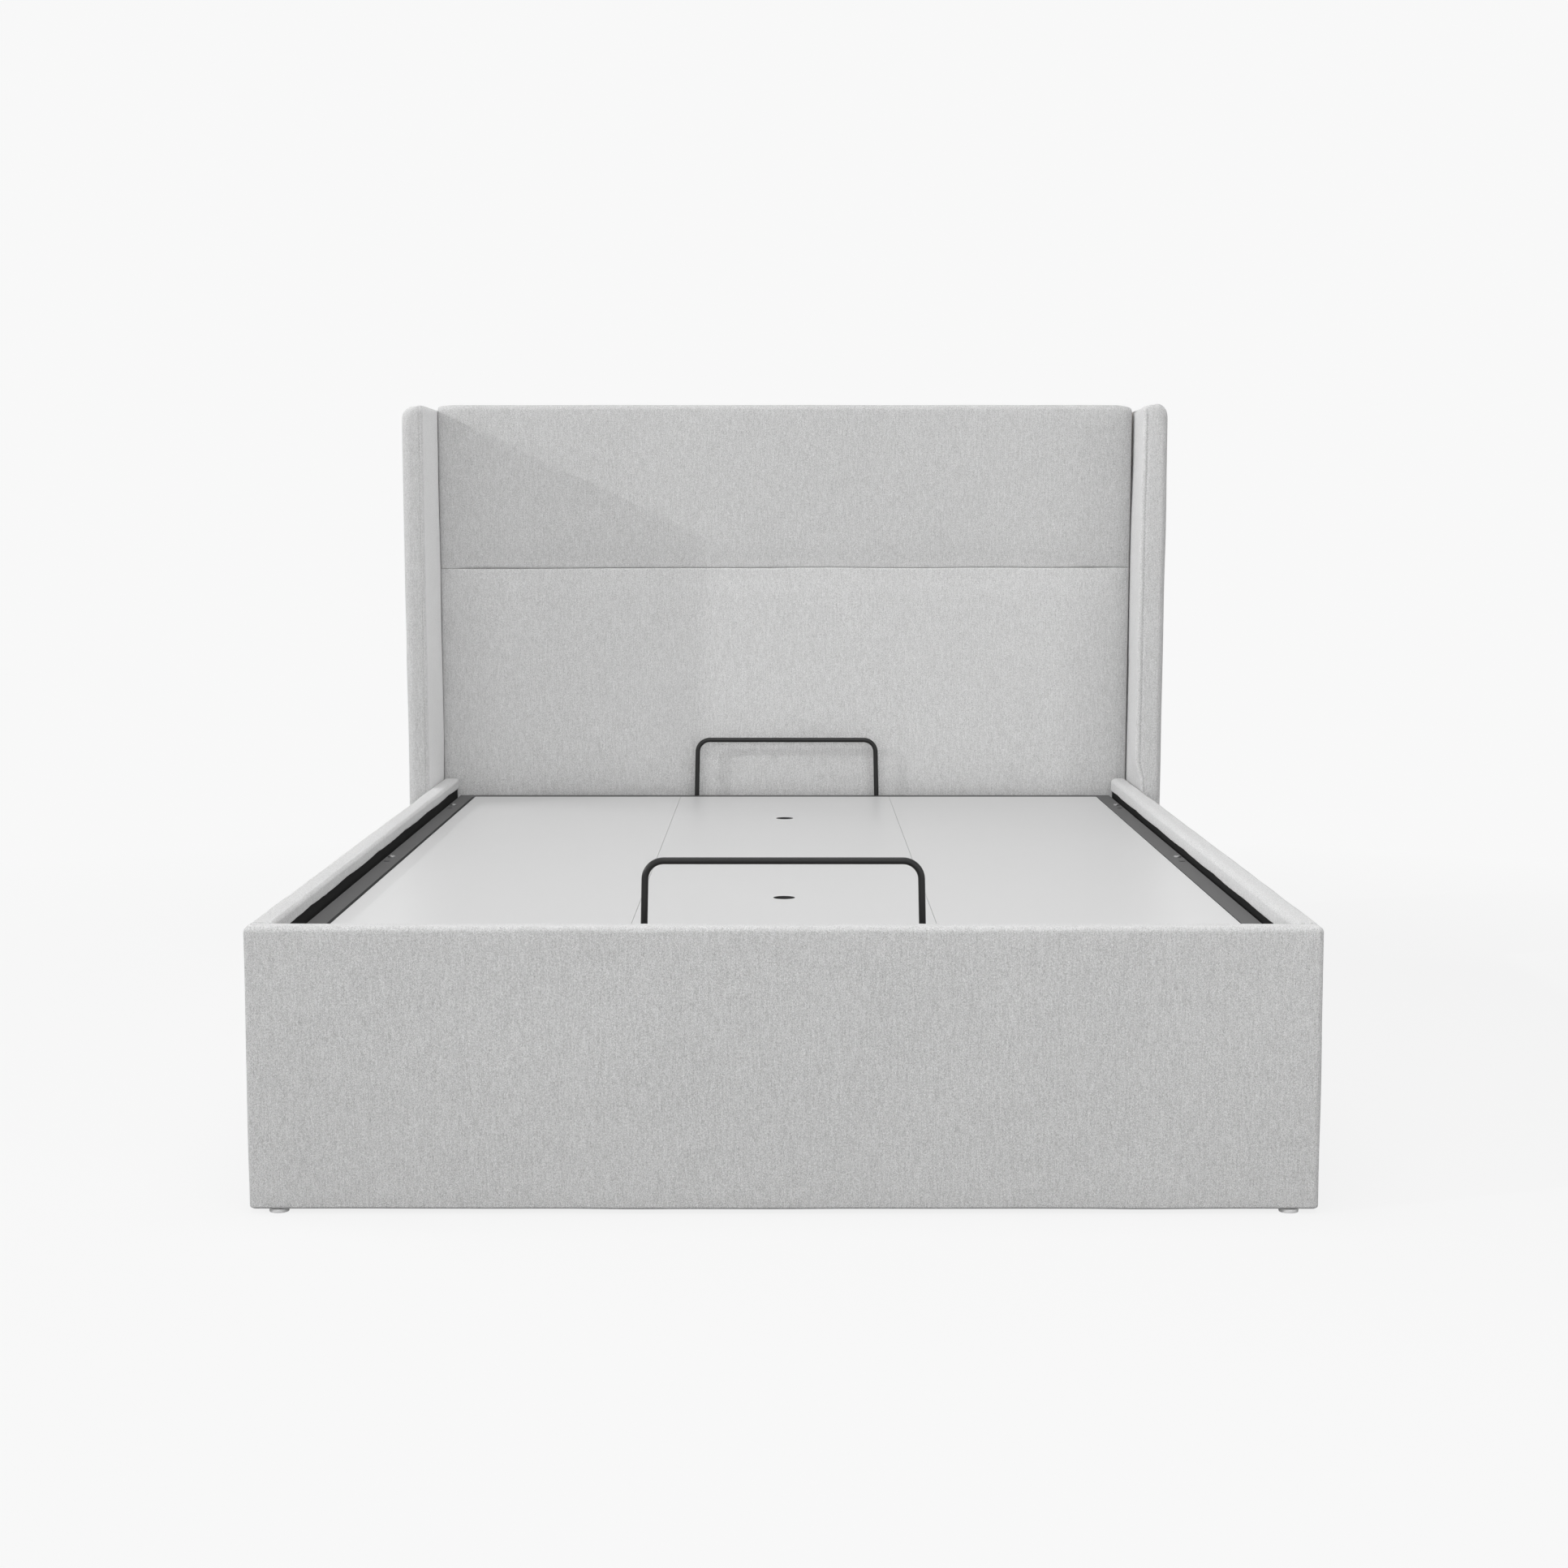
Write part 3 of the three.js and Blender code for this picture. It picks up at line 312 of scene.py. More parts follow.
# Linings: spans are the stretches where nothing lies against the cloth
LINING_ROUND = 0.0006
LINING_SLACK = 0.0022
LINING_EASE = 0.05
FOOT_LINING_SPANS = (((-0.65, 0.65),), ((0.04, 0.30), (0.352, 0.384)))
RAIL_LINING_SPANS = (((-0.96, 0.26), (0.66, 0.92)), ((0.035, 0.384),))
BACK_LINING_SAG = 0.007
BACK_LINING_SPANS = (((-0.695, 0.695),), ((0.132, 1.144),))
BACK_LINING_EASE = 0.16
HEM_WIDTH = 0.014
HEM_RISE = 0.0005
STAPLE_PITCH = 0.062
STAPLE_INSET = 0.0075
STAPLE_HALF = 0.0052
STAPLE_RADIUS = 0.00042

# Arcs
ROUND_STEPS = 5
CROWN_STEPS = 8
BACK_STEPS = 4
QUARTER = math.pi / 2


def lerp(a, b, share):
    return a + (b - a) * share


def smooth_step(value, start, end):
    share = min(max((value - start) / (end - start), 0), 1)
    return share * share * (3 - 2 * share)


def drawn_in(distance, drop, reach):
    """How far an edge at this distance draws back from the face, as a quarter ellipse."""
    share = 1 - min(max(distance / reach, 0), 1)
    return drop * (1 - math.sqrt(1 - share * share))


def spaced(start, end, step):
    count = max(1, round((end - start) / step))
    return [lerp(start, end, i / count) for i in range(count + 1)]


# Material groups and materials


def feed(tree, socket, value):
    """Links another socket to this one, or sets this one's plain value."""
    if isinstance(value, bpy.types.NodeSocket):
        tree.links.new(value, socket)
    else:
        socket.default_value = value


def add_node(tree, kind, values=None, **settings):
    node = tree.nodes.new(kind)
    for key, value in settings.items():
        setattr(node, key, value)
    for socket, value in (values or {}).items():
        feed(tree, node.inputs[socket], value)
    return node


def new_group(name, inputs, outputs):
    """An empty shader group, with what comes into it and what it puts out."""
    group = bpy.data.node_groups.new(name, "ShaderNodeTree")
    for direction, sockets in (("INPUT", inputs), ("OUTPUT", outputs)):
        for label, kind in sockets.items():
            group.interface.new_socket(label, in_out=direction, socket_type=kind)
    return group, group.nodes.new("NodeGroupInput").outputs, group.nodes.new("NodeGroupOutput").inputs


def math_node(tree, operation, first, second):
    return add_node(tree, "ShaderNodeMath", {0: first, 1: second}, operation=operation).outputs[0]


def own_place(tree):
    return add_node(tree, "ShaderNodeTexCoord").outputs["Object"]


def turned_place(tree, stretch, turn):
    """The object's own metres, drawn out along the axes whose stretch is small."""
    values = {"Vector": own_place(tree), "Scale": stretch, "Rotation": turn}
    return add_node(tree, "ShaderNodeMapping", values).outputs["Vector"]


def stretched_noise(tree, stretch, scale, detail=2.0, roughness=0.5):
    place = turned_place(tree, stretch, TURN_UPRIGHT)
    values = {"Vector": place, "Scale": scale, "Detail": detail, "Roughness": roughness}
    return add_node(tree, "ShaderNodeTexNoise", values).outputs["Fac"]


def ramp(tree, value, low, high):
    return add_node(tree, "ShaderNodeMapRange", {"Value": value, "From Min": low, "From Max": high}).outputs["Result"]


def mixed(tree, share, first, second, kind="FLOAT"):
    """A number between two others, or a colour with the kind RGBA."""
    values = {"Factor": share, "A": first, "B": second}
    return add_node(tree, "ShaderNodeMix", values, data_type=kind).outputs["Result"]


def pile_weave_group():
    """Short-pile upholstery cloth: knots of yarn stacked in upright rows, and a slow drift of tone."""
    inputs = {"Light": COLOR, "Dark": COLOR, "Loops": NUMBER, "Row Share": NUMBER, "Drift": NUMBER}
    group, given, result = new_group("pile_weave", inputs, {"Color": COLOR, "Height": NUMBER})
    place = turned_place(group, KNOT_STRETCH, TURN_ALL_WAYS)
    cells = add_node(group, "ShaderNodeTexVoronoi", {"Vector": place, "Scale": given["Loops"]})
    loops = ramp(group, cells.outputs["Distance"], *KNOT_RANGE)
    hairs = ramp(group, stretched_noise(group, HAIR_STRETCH, given["Loops"], 2.0, 0.6), *NOISE_RANGE)
    rows = ramp(group, stretched_noise(group, ROW_STRETCH, given["Loops"], 1.0), *NOISE_RANGE)
    drift = ramp(group, stretched_noise(group, DRIFT_STRETCH, TONE_DRIFT_SCALE), *NOISE_RANGE)
    knots = mixed(group, KNOT_TONE_SHARE, loops, cells.outputs["Color"])
    yarn = mixed(group, given["Row Share"], mixed(group, HAIR_SHARE, knots, hairs), rows)
    tone = mixed(group, given["Drift"], yarn, drift)
    feed(group, result["Color"], mixed(group, tone, given["Dark"], given["Light"], "RGBA"))
    feed(group, result["Height"], yarn)
    return group


def speckle_group():
    """Fine speckle for coated and moulded surfaces, with a slow drift of gloss."""
    inputs = {"Color": COLOR, "Amount": NUMBER, "Grain": NUMBER, "Roughness": NUMBER, "Gloss Drift": NUMBER}
    outputs = {"Color": COLOR, "Roughness": NUMBER, "Height": NUMBER}
    group, given, result = new_group("fine_speckle", inputs, outputs)

    def swung(middle, value, amount):
        swing = math_node(group, "MULTIPLY", math_node(group, "SUBTRACT", value, 0.5), amount)
        return math_node(group, "ADD", middle, swing)

    grain = stretched_noise(group, EVEN_STRETCH, given["Grain"])
    drift = stretched_noise(group, EVEN_STRETCH, GLOSS_DRIFT_SCALE, 3.0)
    values = {0: given["Color"], "Scale": swung(1.0, grain, given["Amount"])}
    tint = add_node(group, "ShaderNodeVectorMath", values, operation="SCALE")
    feed(group, result["Color"], tint.outputs["Vector"])
    feed(group, result["Roughness"], swung(given["Roughness"], drift, given["Gloss Drift"]))
    feed(group, result["Height"], grain)
    return group


def wood_group():
    """Wood whose grain runs along the axis with the small stretch, or pressed flakes if all are alike."""
    inputs = {"Light": COLOR, "Dark": COLOR, "Stretch": VECTOR, "Scale": NUMBER}
    group, given, result = new_group("wood_fibre", inputs, {"Color": COLOR, "Height": NUMBER})
    values = {0: own_place(group), 1: given["Stretch"]}
    drawn = add_node(group, "ShaderNodeVectorMath", values, operation="MULTIPLY").outputs["Vector"]
    fibre = add_node(group, "ShaderNodeTexNoise", {"Vector": drawn, "Scale": given["Scale"], **WOOD_DETAIL})
    tone = ramp(group, fibre.outputs["Fac"], *NOISE_RANGE)
    feed(group, result["Color"], mixed(group, tone, given["Dark"], given["Light"], "RGBA"))
    feed(group, result["Height"], tone)
    return group


def grey(value):
    return (value, value, value, 1)


def group_material(name, group, values, bump_strength, bump_depth, shading):
    """A material whose colour and bump come from a group, and its roughness too where the group gives one."""
    material = bpy.data.materials.new(name)
    material.use_nodes = True
    tree = material.node_tree
    shader = tree.nodes["Principled BSDF"]
    looks = add_node(tree, "ShaderNodeGroup", values, node_tree=group).outputs
    bump = {"Height": looks["Height"], "Strength": bump_strength, "Distance": bump_depth}
    for label, value in shading.items():
        shader.inputs[label].default_value = value
    feed(tree, shader.inputs["Base Color"], looks["Color"])
    feed(tree, shader.inputs["Normal"], add_node(tree, "ShaderNodeBump", bump).outputs["Normal"])
    if "Roughness" in looks:
        feed(tree, shader.inputs["Roughness"], looks["Roughness"])
    return material


def make_materials():
    weave, speckle, wood = pile_weave_group(), speckle_group(), wood_group()
    made = {}
    for key, (name, light, dark, loops, row_share, drift, strength, depth, sheen) in CLOTHS.items():
        values = {"Light": grey(light), "Dark": grey(dark), "Loops": loops, "Row Share": row_share, "Drift": drift}
        shading = {**CLOTH_SHADING, "Sheen Weight": sheen}
        made[key] = group_material(name, weave, values, strength, depth, shading)
    for key, (name, tone, roughness, amount, grain, depth, gloss_drift, shading) in COATS.items():
        values = {"Color": grey(tone), "Roughness": roughness, "Amount": amount, "Grain": grain}
        values["Gloss Drift"] = gloss_drift
        made[key] = group_material(name, speckle, values, COAT_BUMP, depth, shading)
    for key, (name, light, dark, stretch, scale) in WOODS.items():
        values = {"Light": light, "Dark": dark, "Stretch": stretch, "Scale": scale}
        made[key] = group_material(name, wood, values, *WOOD_BUMP, {"Roughness": WOOD_ROUGHNESS})
    return made


# Meshes


def mark_sharp_edges(bm):
    for edge in bm.edges:
        edge.smooth = edge.calc_face_angle(0.0) < SHARP_ANGLE


def finish_mesh(name, bm, material, smooth=True):
    bmesh.ops.recalc_face_normals(bm, faces=bm.faces)
    for face in bm.faces:
        face.smooth = smooth
    mark_sharp_edges(bm)
    mesh = bpy.data.meshes.new(name)
    bm.to_mesh(mesh)
    bm.free()
    mesh.materials.append(material)
    piece = bpy.data.objects.new(name, mesh)
    bpy.context.scene.collection.objects.link(piece)
    return piece


def settle(piece, body, slot, *replaced):
    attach(piece, body)
    if replaced:
        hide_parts(*replaced)
    return piece


def add_loft(bm, rings):
    """Skins a row of closed rings that have as many points each, with a cap at both ends."""
    loops = [[bm.verts.new(point) for point in ring] for ring in rings]
    count = len(loops[0])
    for near, far in zip(loops, loops[1:]):
        for i in range(count):
            j = (i + 1) % count
            bm.faces.new((near[i], near[j], far[j], far[i]))
    bm.faces.new(loops[0])
    bm.faces.new(loops[-1])


def loft(rings):
    bm = bmesh.new()
    add_loft(bm, rings)
    return bm


def round_stations(low, high, low_radius, high_radius, step):
    """Places along one side of a soft block: close together where its corners are round."""
    turns = [math.tan(math.pi / 4 * i / ROUND_STEPS) for i in range(ROUND_STEPS + 1)]
    start = [low + low_radius * (1 - turn) for turn in reversed(turns)]
    end = [high - high_radius * (1 - turn) for turn in turns]
    middle = spaced(low + low_radius, high - high_radius, step)
    return start + middle[1:-1] + end


def soft_block(low, high, low_radii, high_radii, steps, shape, radii_at=None, extra=((), (), ())):
    """A closed block with round edges.

    shape moves each surface point, from its place and normal. radii_at gives the edges' radii at a point. extra holds
    more places along each side where points are needed.
    """
    bm = bmesh.new()
    sides = []
    for i in range(3):
        places = round_stations(low[i], high[i], low_radii[i], high_radii[i], steps[i])
        sides.append(sorted(places + list(extra[i])))
    last = [len(side) - 1 for side in sides]
    middle = (low + high) / 2
    verts = {}

    def vertex(i, j, k):
        if (i, j, k) not in verts:
            point = Vector((sides[0][i], sides[1][j], sides[2][k]))
            if radii_at:
                radii = radii_at(point)
            else:
                radii = [low_radii[a] if point[a] < middle[a] else high_radii[a] for a in range(3)]
            core = Vector(min(max(point[a], low[a] + radii[a]), high[a] - radii[a]) for a in range(3))
            normal = Vector((point[a] - core[a]) / radii[a] for a in range(3)).normalized()
            place = Vector(core[a] + radii[a] * normal[a] for a in range(3))
            verts[i, j, k] = bm.verts.new(shape(place, normal))
        return verts[i, j, k]

    for axis in range(3):
        u, v = [a for a in range(3) if a != axis]
        for end in (0, last[axis]):
            for a in range(last[u]):
                for b in range(last[v]):
                    corners = []
                    for da, db in ((0, 0), (1, 0), (1, 1), (0, 1)):
                        index = [0, 0, 0]
                        index[axis] = end
                        index[u] = a + da
                        index[v] = b + db
                        corners.append(vertex(*index))
                    bm.faces.new(corners)
    return bm


def cut_piece(piece, cutter_bm):
    """Cuts a shape out of a piece and leaves no modifier behind."""
    bmesh.ops.recalc_face_normals(cutter_bm, faces=cutter_bm.faces)
    mesh = bpy.data.meshes.new("cutter")
    cutter_bm.to_mesh(mesh)
    cutter_bm.free()
    cutter = bpy.data.objects.new("cutter", mesh)
    bpy.context.scene.collection.objects.link(cutter)
    modifier = piece.modifiers.new("cut", "BOOLEAN")
    modifier.operation = "DIFFERENCE"
    modifier.solver = "EXACT"
    modifier.object = cutter
    graph = bpy.context.evaluated_depsgraph_get()
    result = bpy.data.meshes.new_from_object(piece.evaluated_get(graph))
    piece.modifiers.clear()
    bpy.data.objects.remove(cutter)
    old = piece.data
    piece.data = result
    result.name = old.name
    bpy.data.meshes.remove(old)
    bm = bmesh.new()
    bm.from_mesh(result)
    mark_sharp_edges(bm)
    bm.to_mesh(result)
    bm.free()


def sharp_edges(bm):
    return [edge for edge in bm.edges if edge.is_manifold and edge.calc_face_angle(0.0) > EASE_ANGLE]


def ease_edges(bm, edges, width, material_index=0):
    ease = {"segments": 2, "profile": 0.5, "affect": "EDGES", "clamp_overlap": True}
    bmesh.ops.bevel(bm, geom=edges, offset=width, material=material_index, **ease)


def clean_copy(node):
    """The CAD node's own shape, with its flat faces whole."""
    bm = bmesh.new()
    bm.from_mesh(frame["nodes"][node].data)
    bmesh.ops.remove_doubles(bm, verts=bm.verts, dist=WELD)
    bmesh.ops.dissolve_limit(bm, angle_limit=FLAT_ANGLE, verts=bm.verts, edges=bm.edges)
    return bm


def shade_evenly(piece):
    piece.modifiers.new("even_shading", "WEIGHTED_NORMAL").keep_sharp = True


def eased(node, material, slot):
    """The CAD node's own shape with its sharp outer edges eased. The headboard's frame widens with its pads."""
    bm = clean_copy(node)
    if node in LEANING_PARTS:
        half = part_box("headboard_upper_pad")[1].x
        for z in LEAN_CUTS:
            whole = bm.verts[:] + bm.edges[:] + bm.faces[:]
            bmesh.ops.bisect_plane(bm, geom=whole, plane_co=(0, 0, z), plane_no=(0, 0, 1))
        for vert in bm.verts:
            vert.co.x = spread(vert.co.x, vert.co.z, half)
    ease_edges(bm, [edge for edge in sharp_edges(bm) if edge.is_convex], EDGE_EASE)
    piece = finish_mesh(f"{node}_finished", bm, material)
    shade_evenly(piece)
    return settle(piece, frame["nodes"][node]["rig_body"], slot, node)


def make_platform_boards():
    """Laminated boards, banded around the whole field with an edge band painted lighter than the laminate as a
    highlight, and close-set between; their finger holes are painted black inside as shade.
    """
    nodes = ("left_platform_board", "centre_board", "right_platform_board")
    boxes = [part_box(node) for node in nodes]
    half = boxes[2][1].x
    foot, head = boxes[0][0].y, boxes[0][1].y
    middle, reach = (foot + head) / 2, (head - foot) / 2
    near = 2 * BOARD_SHRINK

    def outer_sides(place):
        return abs(place.x) > half - 2 * BOARD_LEFT_GAP, place.y < foot + near, place.y > head - near

    def on_outside(edge):
        first, second = (outer_sides(vert.co) for vert in edge.verts)
        return any(a and b for a, b in zip(first, second))

    for node, (low, high) in zip(nodes, boxes):
        bm = clean_copy(node)
        for face in bm.faces:
            # The finger holes' walls take the black: painted shade inside the holes.
            if abs(face.normal.z) < 0.5 and face.calc_area() < HOLE_WALL:
                face.material_index = 2
        for vert in bm.verts:
            x = vert.co.x
            if x < -half + BOARD_SHRINK:
                vert.co.x += BOARD_LEFT_GAP
            elif x > half - BOARD_SHRINK:
                vert.co.x -= BOARD_SHRINK
            elif x in (low.x, high.x):
                vert.co.x += math.copysign(BOARD_SEAM_CLOSE, x - (low.x + high.x) / 2)
            vert.co.y -= BOARD_SHRINK * ((vert.co.y - middle) / reach) ** 3
        # The eased outer edges take the lighter edge band: a painted highlight.
        ease_edges(bm, [edge for edge in sharp_edges(bm) if on_outside(edge)], BOARD_EASE, 1)
        piece = finish_mesh(f"{node}_finished", bm, MATERIALS["laminate"])
        for finish in ("edging_painted_highlight", "painted_shade_black"):
            piece.data.materials.append(MATERIALS[finish])
        shade_evenly(piece)
        settle(piece, frame["nodes"][node]["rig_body"], "white_laminate", node)


def make_tube_shade_strips():
    """Black strips on the side tubes' faces that the boards lie next to: painted shade, standing in for the dark gap
    between board and tube.
    """
    foot, head = (corner.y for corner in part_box("left_platform_board"))
    outline = ((0, -SHADE_STRIP_INSET), (SHADE_STRIP_THICKNESS, -SHADE_STRIP_INSET), (SHADE_STRIP_THICKNESS, -SHADE_STRIP_WIDTH), (0, -SHADE_STRIP_WIDTH))
    bm = bmesh.new()
    for side, outward in OUTWARD.items():
        low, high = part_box(f"{side}_platform_side_tube")
        face = high.x if side == "left" else low.x
        add_loft(bm, [[Vector((face - outward * x, y, high.z + z)) for x, z in outline] for y in (foot, head)])
    piece = finish_mesh("platform_tube_painted_shade_strips", bm, MATERIALS["painted_shade_black"], smooth=False)
    settle(piece, "platform", "black_lining")


# Fabric covers of the foot panel and the rails


def cloth_over_board(place, normal):
    """Cloth drawn over a board: almost flat, with slow unevenness."""
    share = 1 if abs(normal.z) < 0.9 else 0.5
    return place + normal * COVER_CROWN * noise.noise(place * 7) * share


def flap_wave(along, seed):
    """How far the turned-down cloth's lower edge hangs above its lowest line, tucked up at each staple."""
    bent = along + 0.03 * noise.noise(Vector((along * 6, seed, 0)))
    swag = abs(math.sin(math.pi * bent / FLAP_TUCK_PITCH + seed))
    depth = 0.6 + 0.4 * noise.noise(Vector((along * 3, seed, 5)))
    return FLAP_WAVE * (1 - swag**0.7) * depth + FLAP_FRAY * noise.noise(Vector((along * 40, seed, 9)))


def flap_cutter(axis, start, end, face, inward, bottom, top, seed):
    """The recess under the turned-down cloth, along an axis. Its upper edge is wavy and rolls over."""
    rings = []
    for along in spaced(start, end, FLAP_STEP):
        height = top + flap_wave(along, seed)
        section = [
            (-CUT_OVERRUN, bottom),
            (FLAP_THICKNESS, bottom),
            (FLAP_THICKNESS, height),
            (FLAP_ROLL, height),
            (FLAP_ROLL * 0.3, height + FLAP_ROLL * 0.3),
            (0, height + FLAP_ROLL),
            (-CUT_OVERRUN, height + FLAP_ROLL),
        ]
        ring = [Vector((along, face + inward * depth, z)) for depth, z in section]
        rings.append(ring if axis == "x" else [Vector((p.y, p.x, p.z)) for p in ring])
    return loft(rings)


def make_foot_panel():
    low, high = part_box("foot_panel_cover")
    low_radii = Vector((PANEL_CORNER, PANEL_EDGE, PANEL_FOOT_EDGE))
    high_radii = Vector((PANEL_CORNER, PANEL_EDGE, PANEL_CORNER))
    bm = soft_block(low, high, low_radii, high_radii, COVER_STEPS, cloth_over_board)
    piece = finish_mesh("foot_panel_fabric", bm, MATERIALS["fabric"])
    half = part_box("foot_panel_lining")[1].x
    bottom, top = low.z + FOOT_HEM, high.z - FLAP_DEPTH["foot"]
    cut_piece(piece, flap_cutter("x", -half, half, high.y, -1, bottom, top, FLAP_SEED["foot"]))
    return settle(piece, "base", "upholstery_fabric", "foot_panel_cover")


def make_rail(side):
    node = f"{side}_rail_cover"
    low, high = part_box(node)
    edges = (RAIL_INNER_EDGE[side], RAIL_OUTER_EDGE)[:: OUTWARD[side]]
    low_radii = Vector((edges[0], RAIL_END_EDGE, PANEL_FOOT_EDGE))
    high_radii = Vector((edges[1], RAIL_END_EDGE, RAIL_OUTER_EDGE))

    def radii_at(point):
        across = lerp(*edges, (point.x - low.x) / (high.x - low.x))
        up = across if point.z > (low.z + high.z) / 2 else PANEL_FOOT_EDGE
        return Vector((across, RAIL_END_EDGE, up))

    bm = soft_block(low, high, low_radii, high_radii, COVER_STEPS, cloth_over_board, radii_at)
    piece = finish_mesh(f"{side}_rail_fabric", bm, MATERIALS["fabric"])
    face = low.x if side == "right" else high.x
    start, end = low.y - CUT_OVERRUN, high.y - FLAP_THICKNESS
    bottom, top = low.z + RAIL_HEM, high.z - FLAP_DEPTH[side]
    cut_piece(piece, flap_cutter("y", start, end, face, OUTWARD[side], bottom, top, FLAP_SEED[side]))
    return settle(piece, "base", "upholstery_fabric", node)


# Linings


def between(value, spans, ease):
    """1 well inside one of the spans, 0 outside them all."""
    return max(smooth_step(value, a, a + ease) * (1 - smooth_step(value, b - ease, b)) for a, b in spans)


def make_lining(node, outward, spans, rests_on, slack=LINING_SLACK, ease=LINING_EASE, on_back=False):
    """A thin cloth panel that hangs a little loose between the pieces that hold it, away from their side."""
    low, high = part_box(node)
    axis = 1 if high.y - low.y < high.x - low.x else 0
    along = 1 - axis
    push = Vector((0, 0, 0))
    push[axis] = outward
    inner_fold, outer_fold = HEM_WIDTH * 0.9, HEM_WIDTH * 1.05
    extra = [(), (), ()]
    for i in (along, 2):
        extra[i] = (low[i] + inner_fold, low[i] + outer_fold, high[i] - outer_fold, high[i] - inner_fold)

    def shape(place, normal):
        loose = between(place[along], spans[0], ease) * between(place.z, spans[1], ease)
        wave = 0.55 + 0.45 * noise.noise(Vector((place[along] * 5, place.z * 6, low.x * 9)))
        wave += 0.12 * noise.noise(Vector((place[along] * 19, place.z * 15, low.x * 9)))
        moved = place + push * slack * loose * wave
        if on_back:
            if normal.y > 0.5:
                edge = min(place.x - low.x, high.x - place.x, place.z - low.z, high.z - place.z)
                folded = 1 - smooth_step(edge, inner_fold, outer_fold)
                moved.y += HEM_RISE * folded * smooth_step(edge, 0, 0.001)
            moved.x = spread(moved.x, moved.z, high.x)
        return moved

    radii = Vector((LINING_ROUND, LINING_ROUND, LINING_ROUND))
    bm = soft_block(low, high, radii, radii, COVER_STEPS, shape, extra=extra)
    piece = finish_mesh(f"{node}_cloth", bm, MATERIALS["lining"])
    return settle(piece, "base", "black_lining", node)


def make_linings():
    make_lining("foot_panel_lining", 1, FOOT_LINING_SPANS, "foot_panel_board")
    for side, outward in OUTWARD.items():
        make_lining(f"{side}_rail_lining", -outward, RAIL_LINING_SPANS, f"{side}_rail_board")
    sag = {"slack": BACK_LINING_SAG, "ease": BACK_LINING_EASE, "on_back": True}
    make_lining("headboard_back_lining", -1, BACK_LINING_SPANS, "headboard_top_rail", **sag)


def make_back_staples():
    """Flat wire staples through the back lining's hem."""
    low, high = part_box("headboard_back_lining")
    y = high.y + HEM_RISE + STAPLE_RADIUS * 0.4
    left, right = low.x + STAPLE_INSET, high.x - STAPLE_INSET
    foot, top = low.z + STAPLE_INSET, high.z - STAPLE_INSET
    rows = ((left, foot, right, foot), (left, top, right, top), (left, foot, left, top), (right, foot, right, top))
    bm = bmesh.new()
    for x0, z0, x1, z1 in rows:
        start, end = Vector((x0, y, z0)), Vector((x1, y, z1))
        along = (end - start).normalized()
        count = round((end - start).length / STAPLE_PITCH)
        for i in range(count):
            wobble = 0.006 * noise.noise(Vector((x0 * 7 + i * 1.3, z0 * 5, 3.7)))
            centre = start.lerp(end, (i + 0.5) / count) + along * wobble
            centre.x = spread(centre.x, centre.z, high.x)
            add_stitch(bm, centre - along * STAPLE_HALF, centre + along * STAPLE_HALF, STAPLE_RADIUS)
    piece = finish_mesh("back_lining_staples", bm, MATERIALS["zinc"])
    return settle(piece, "base", "polished_steel")


# Headboard pads


def wing_lean(z):
    """How far the wings and the pads' sides lean outward at a height."""
    return WING_LEAN * smooth_step(z, *WING_LEAN_HEIGHTS)


def spread(x, z, half):
    """Where a point at x goes, when the headboard widens at this height."""
    return x * (1 + wing_lean(z) / half)


def stuffed_form(low, high):
    """A cloth simulation of the pad's cover under its stuffing's pressure, held at the back and the seams."""
    radii = Vector((STUFFING_ROUND, STUFFING_ROUND, STUFFING_ROUND))
    steps = (STUFFING_STEP, STUFFING_STEP, STUFFING_STEP)
    back = Vector((high.x, low.y + PAD_BODY, high.z))
    bm = soft_block(low, back, radii, radii, steps, lambda place, normal: place)
    form = finish_mesh("stuffed_form", bm, MATERIALS["fabric"])
    held = [vert.index for vert in form.data.vertices if vert.co.y > low.y + STUFFING_ROUND * 0.5]
    form.vertex_groups.new(name="sewn").add(held, 1.0, "REPLACE")
    cloth = form.modifiers.new("stuffed", "CLOTH").settings
    cloth.use_pressure = True
    cloth.uniform_pressure_force = STUFFING_PRESSURE
    cloth.vertex_group_mass = "sewn"
    cloth.effector_weights.gravity = 0
    for step in range(1, STUFFING_FRAMES + 1):
        bpy.context.scene.frame_set(step)
    graph = bpy.context.evaluated_depsgraph_get()
    result = bpy.data.meshes.new_from_object(form.evaluated_get(graph))
    surface = BVHTree.FromPolygons([v.co for v in result.vertices], [p.vertices for p in result.polygons])
    before = form.data
    bpy.data.objects.remove(form)
    bpy.data.meshes.remove(before)
    bpy.data.meshes.remove(result)
    bpy.context.scene.frame_set(1)
    return surface


def make_swelling(low, high):
    """A function of x and z: how far the stuffing presses the pad's face out, at most PAD_SWELL."""
    surface = stuffed_form(low, high)

    def swelling(x, z):
        start = Vector((x * 0.999, low.y - 1, min(max(z, low.z + 0.0001), high.z - 0.0001)))
        hit = surface.ray_cast(start, Vector((0, 1, 0)))[0]
        pressed = max(low.y - hit.y, 0) if hit else 0
        return PAD_SWELL * math.tanh(pressed / PAD_SWELL)

    return swelling


def seam_strength(x, half):
    """The seam is drawn tight over most of its length, more so at a few spots, and fades before the left wing."""
    side = "left" if x < 0 else "right"
    fade = smooth_step(half - abs(x), PAD_SEAM_FADE_END[side], PAD_SEAM_FADE_START[side])
    tight = SEAM_TIGHTNESS + SEAM_TIGHTNESS_SWING * noise.noise(Vector((x * 4, 6.3, 0)))
    for place, reach, more in SEAM_TIGHT_SPOTS:
        tight += more * math.exp(-(((x - place) / reach) ** 2))
    return fade * tight


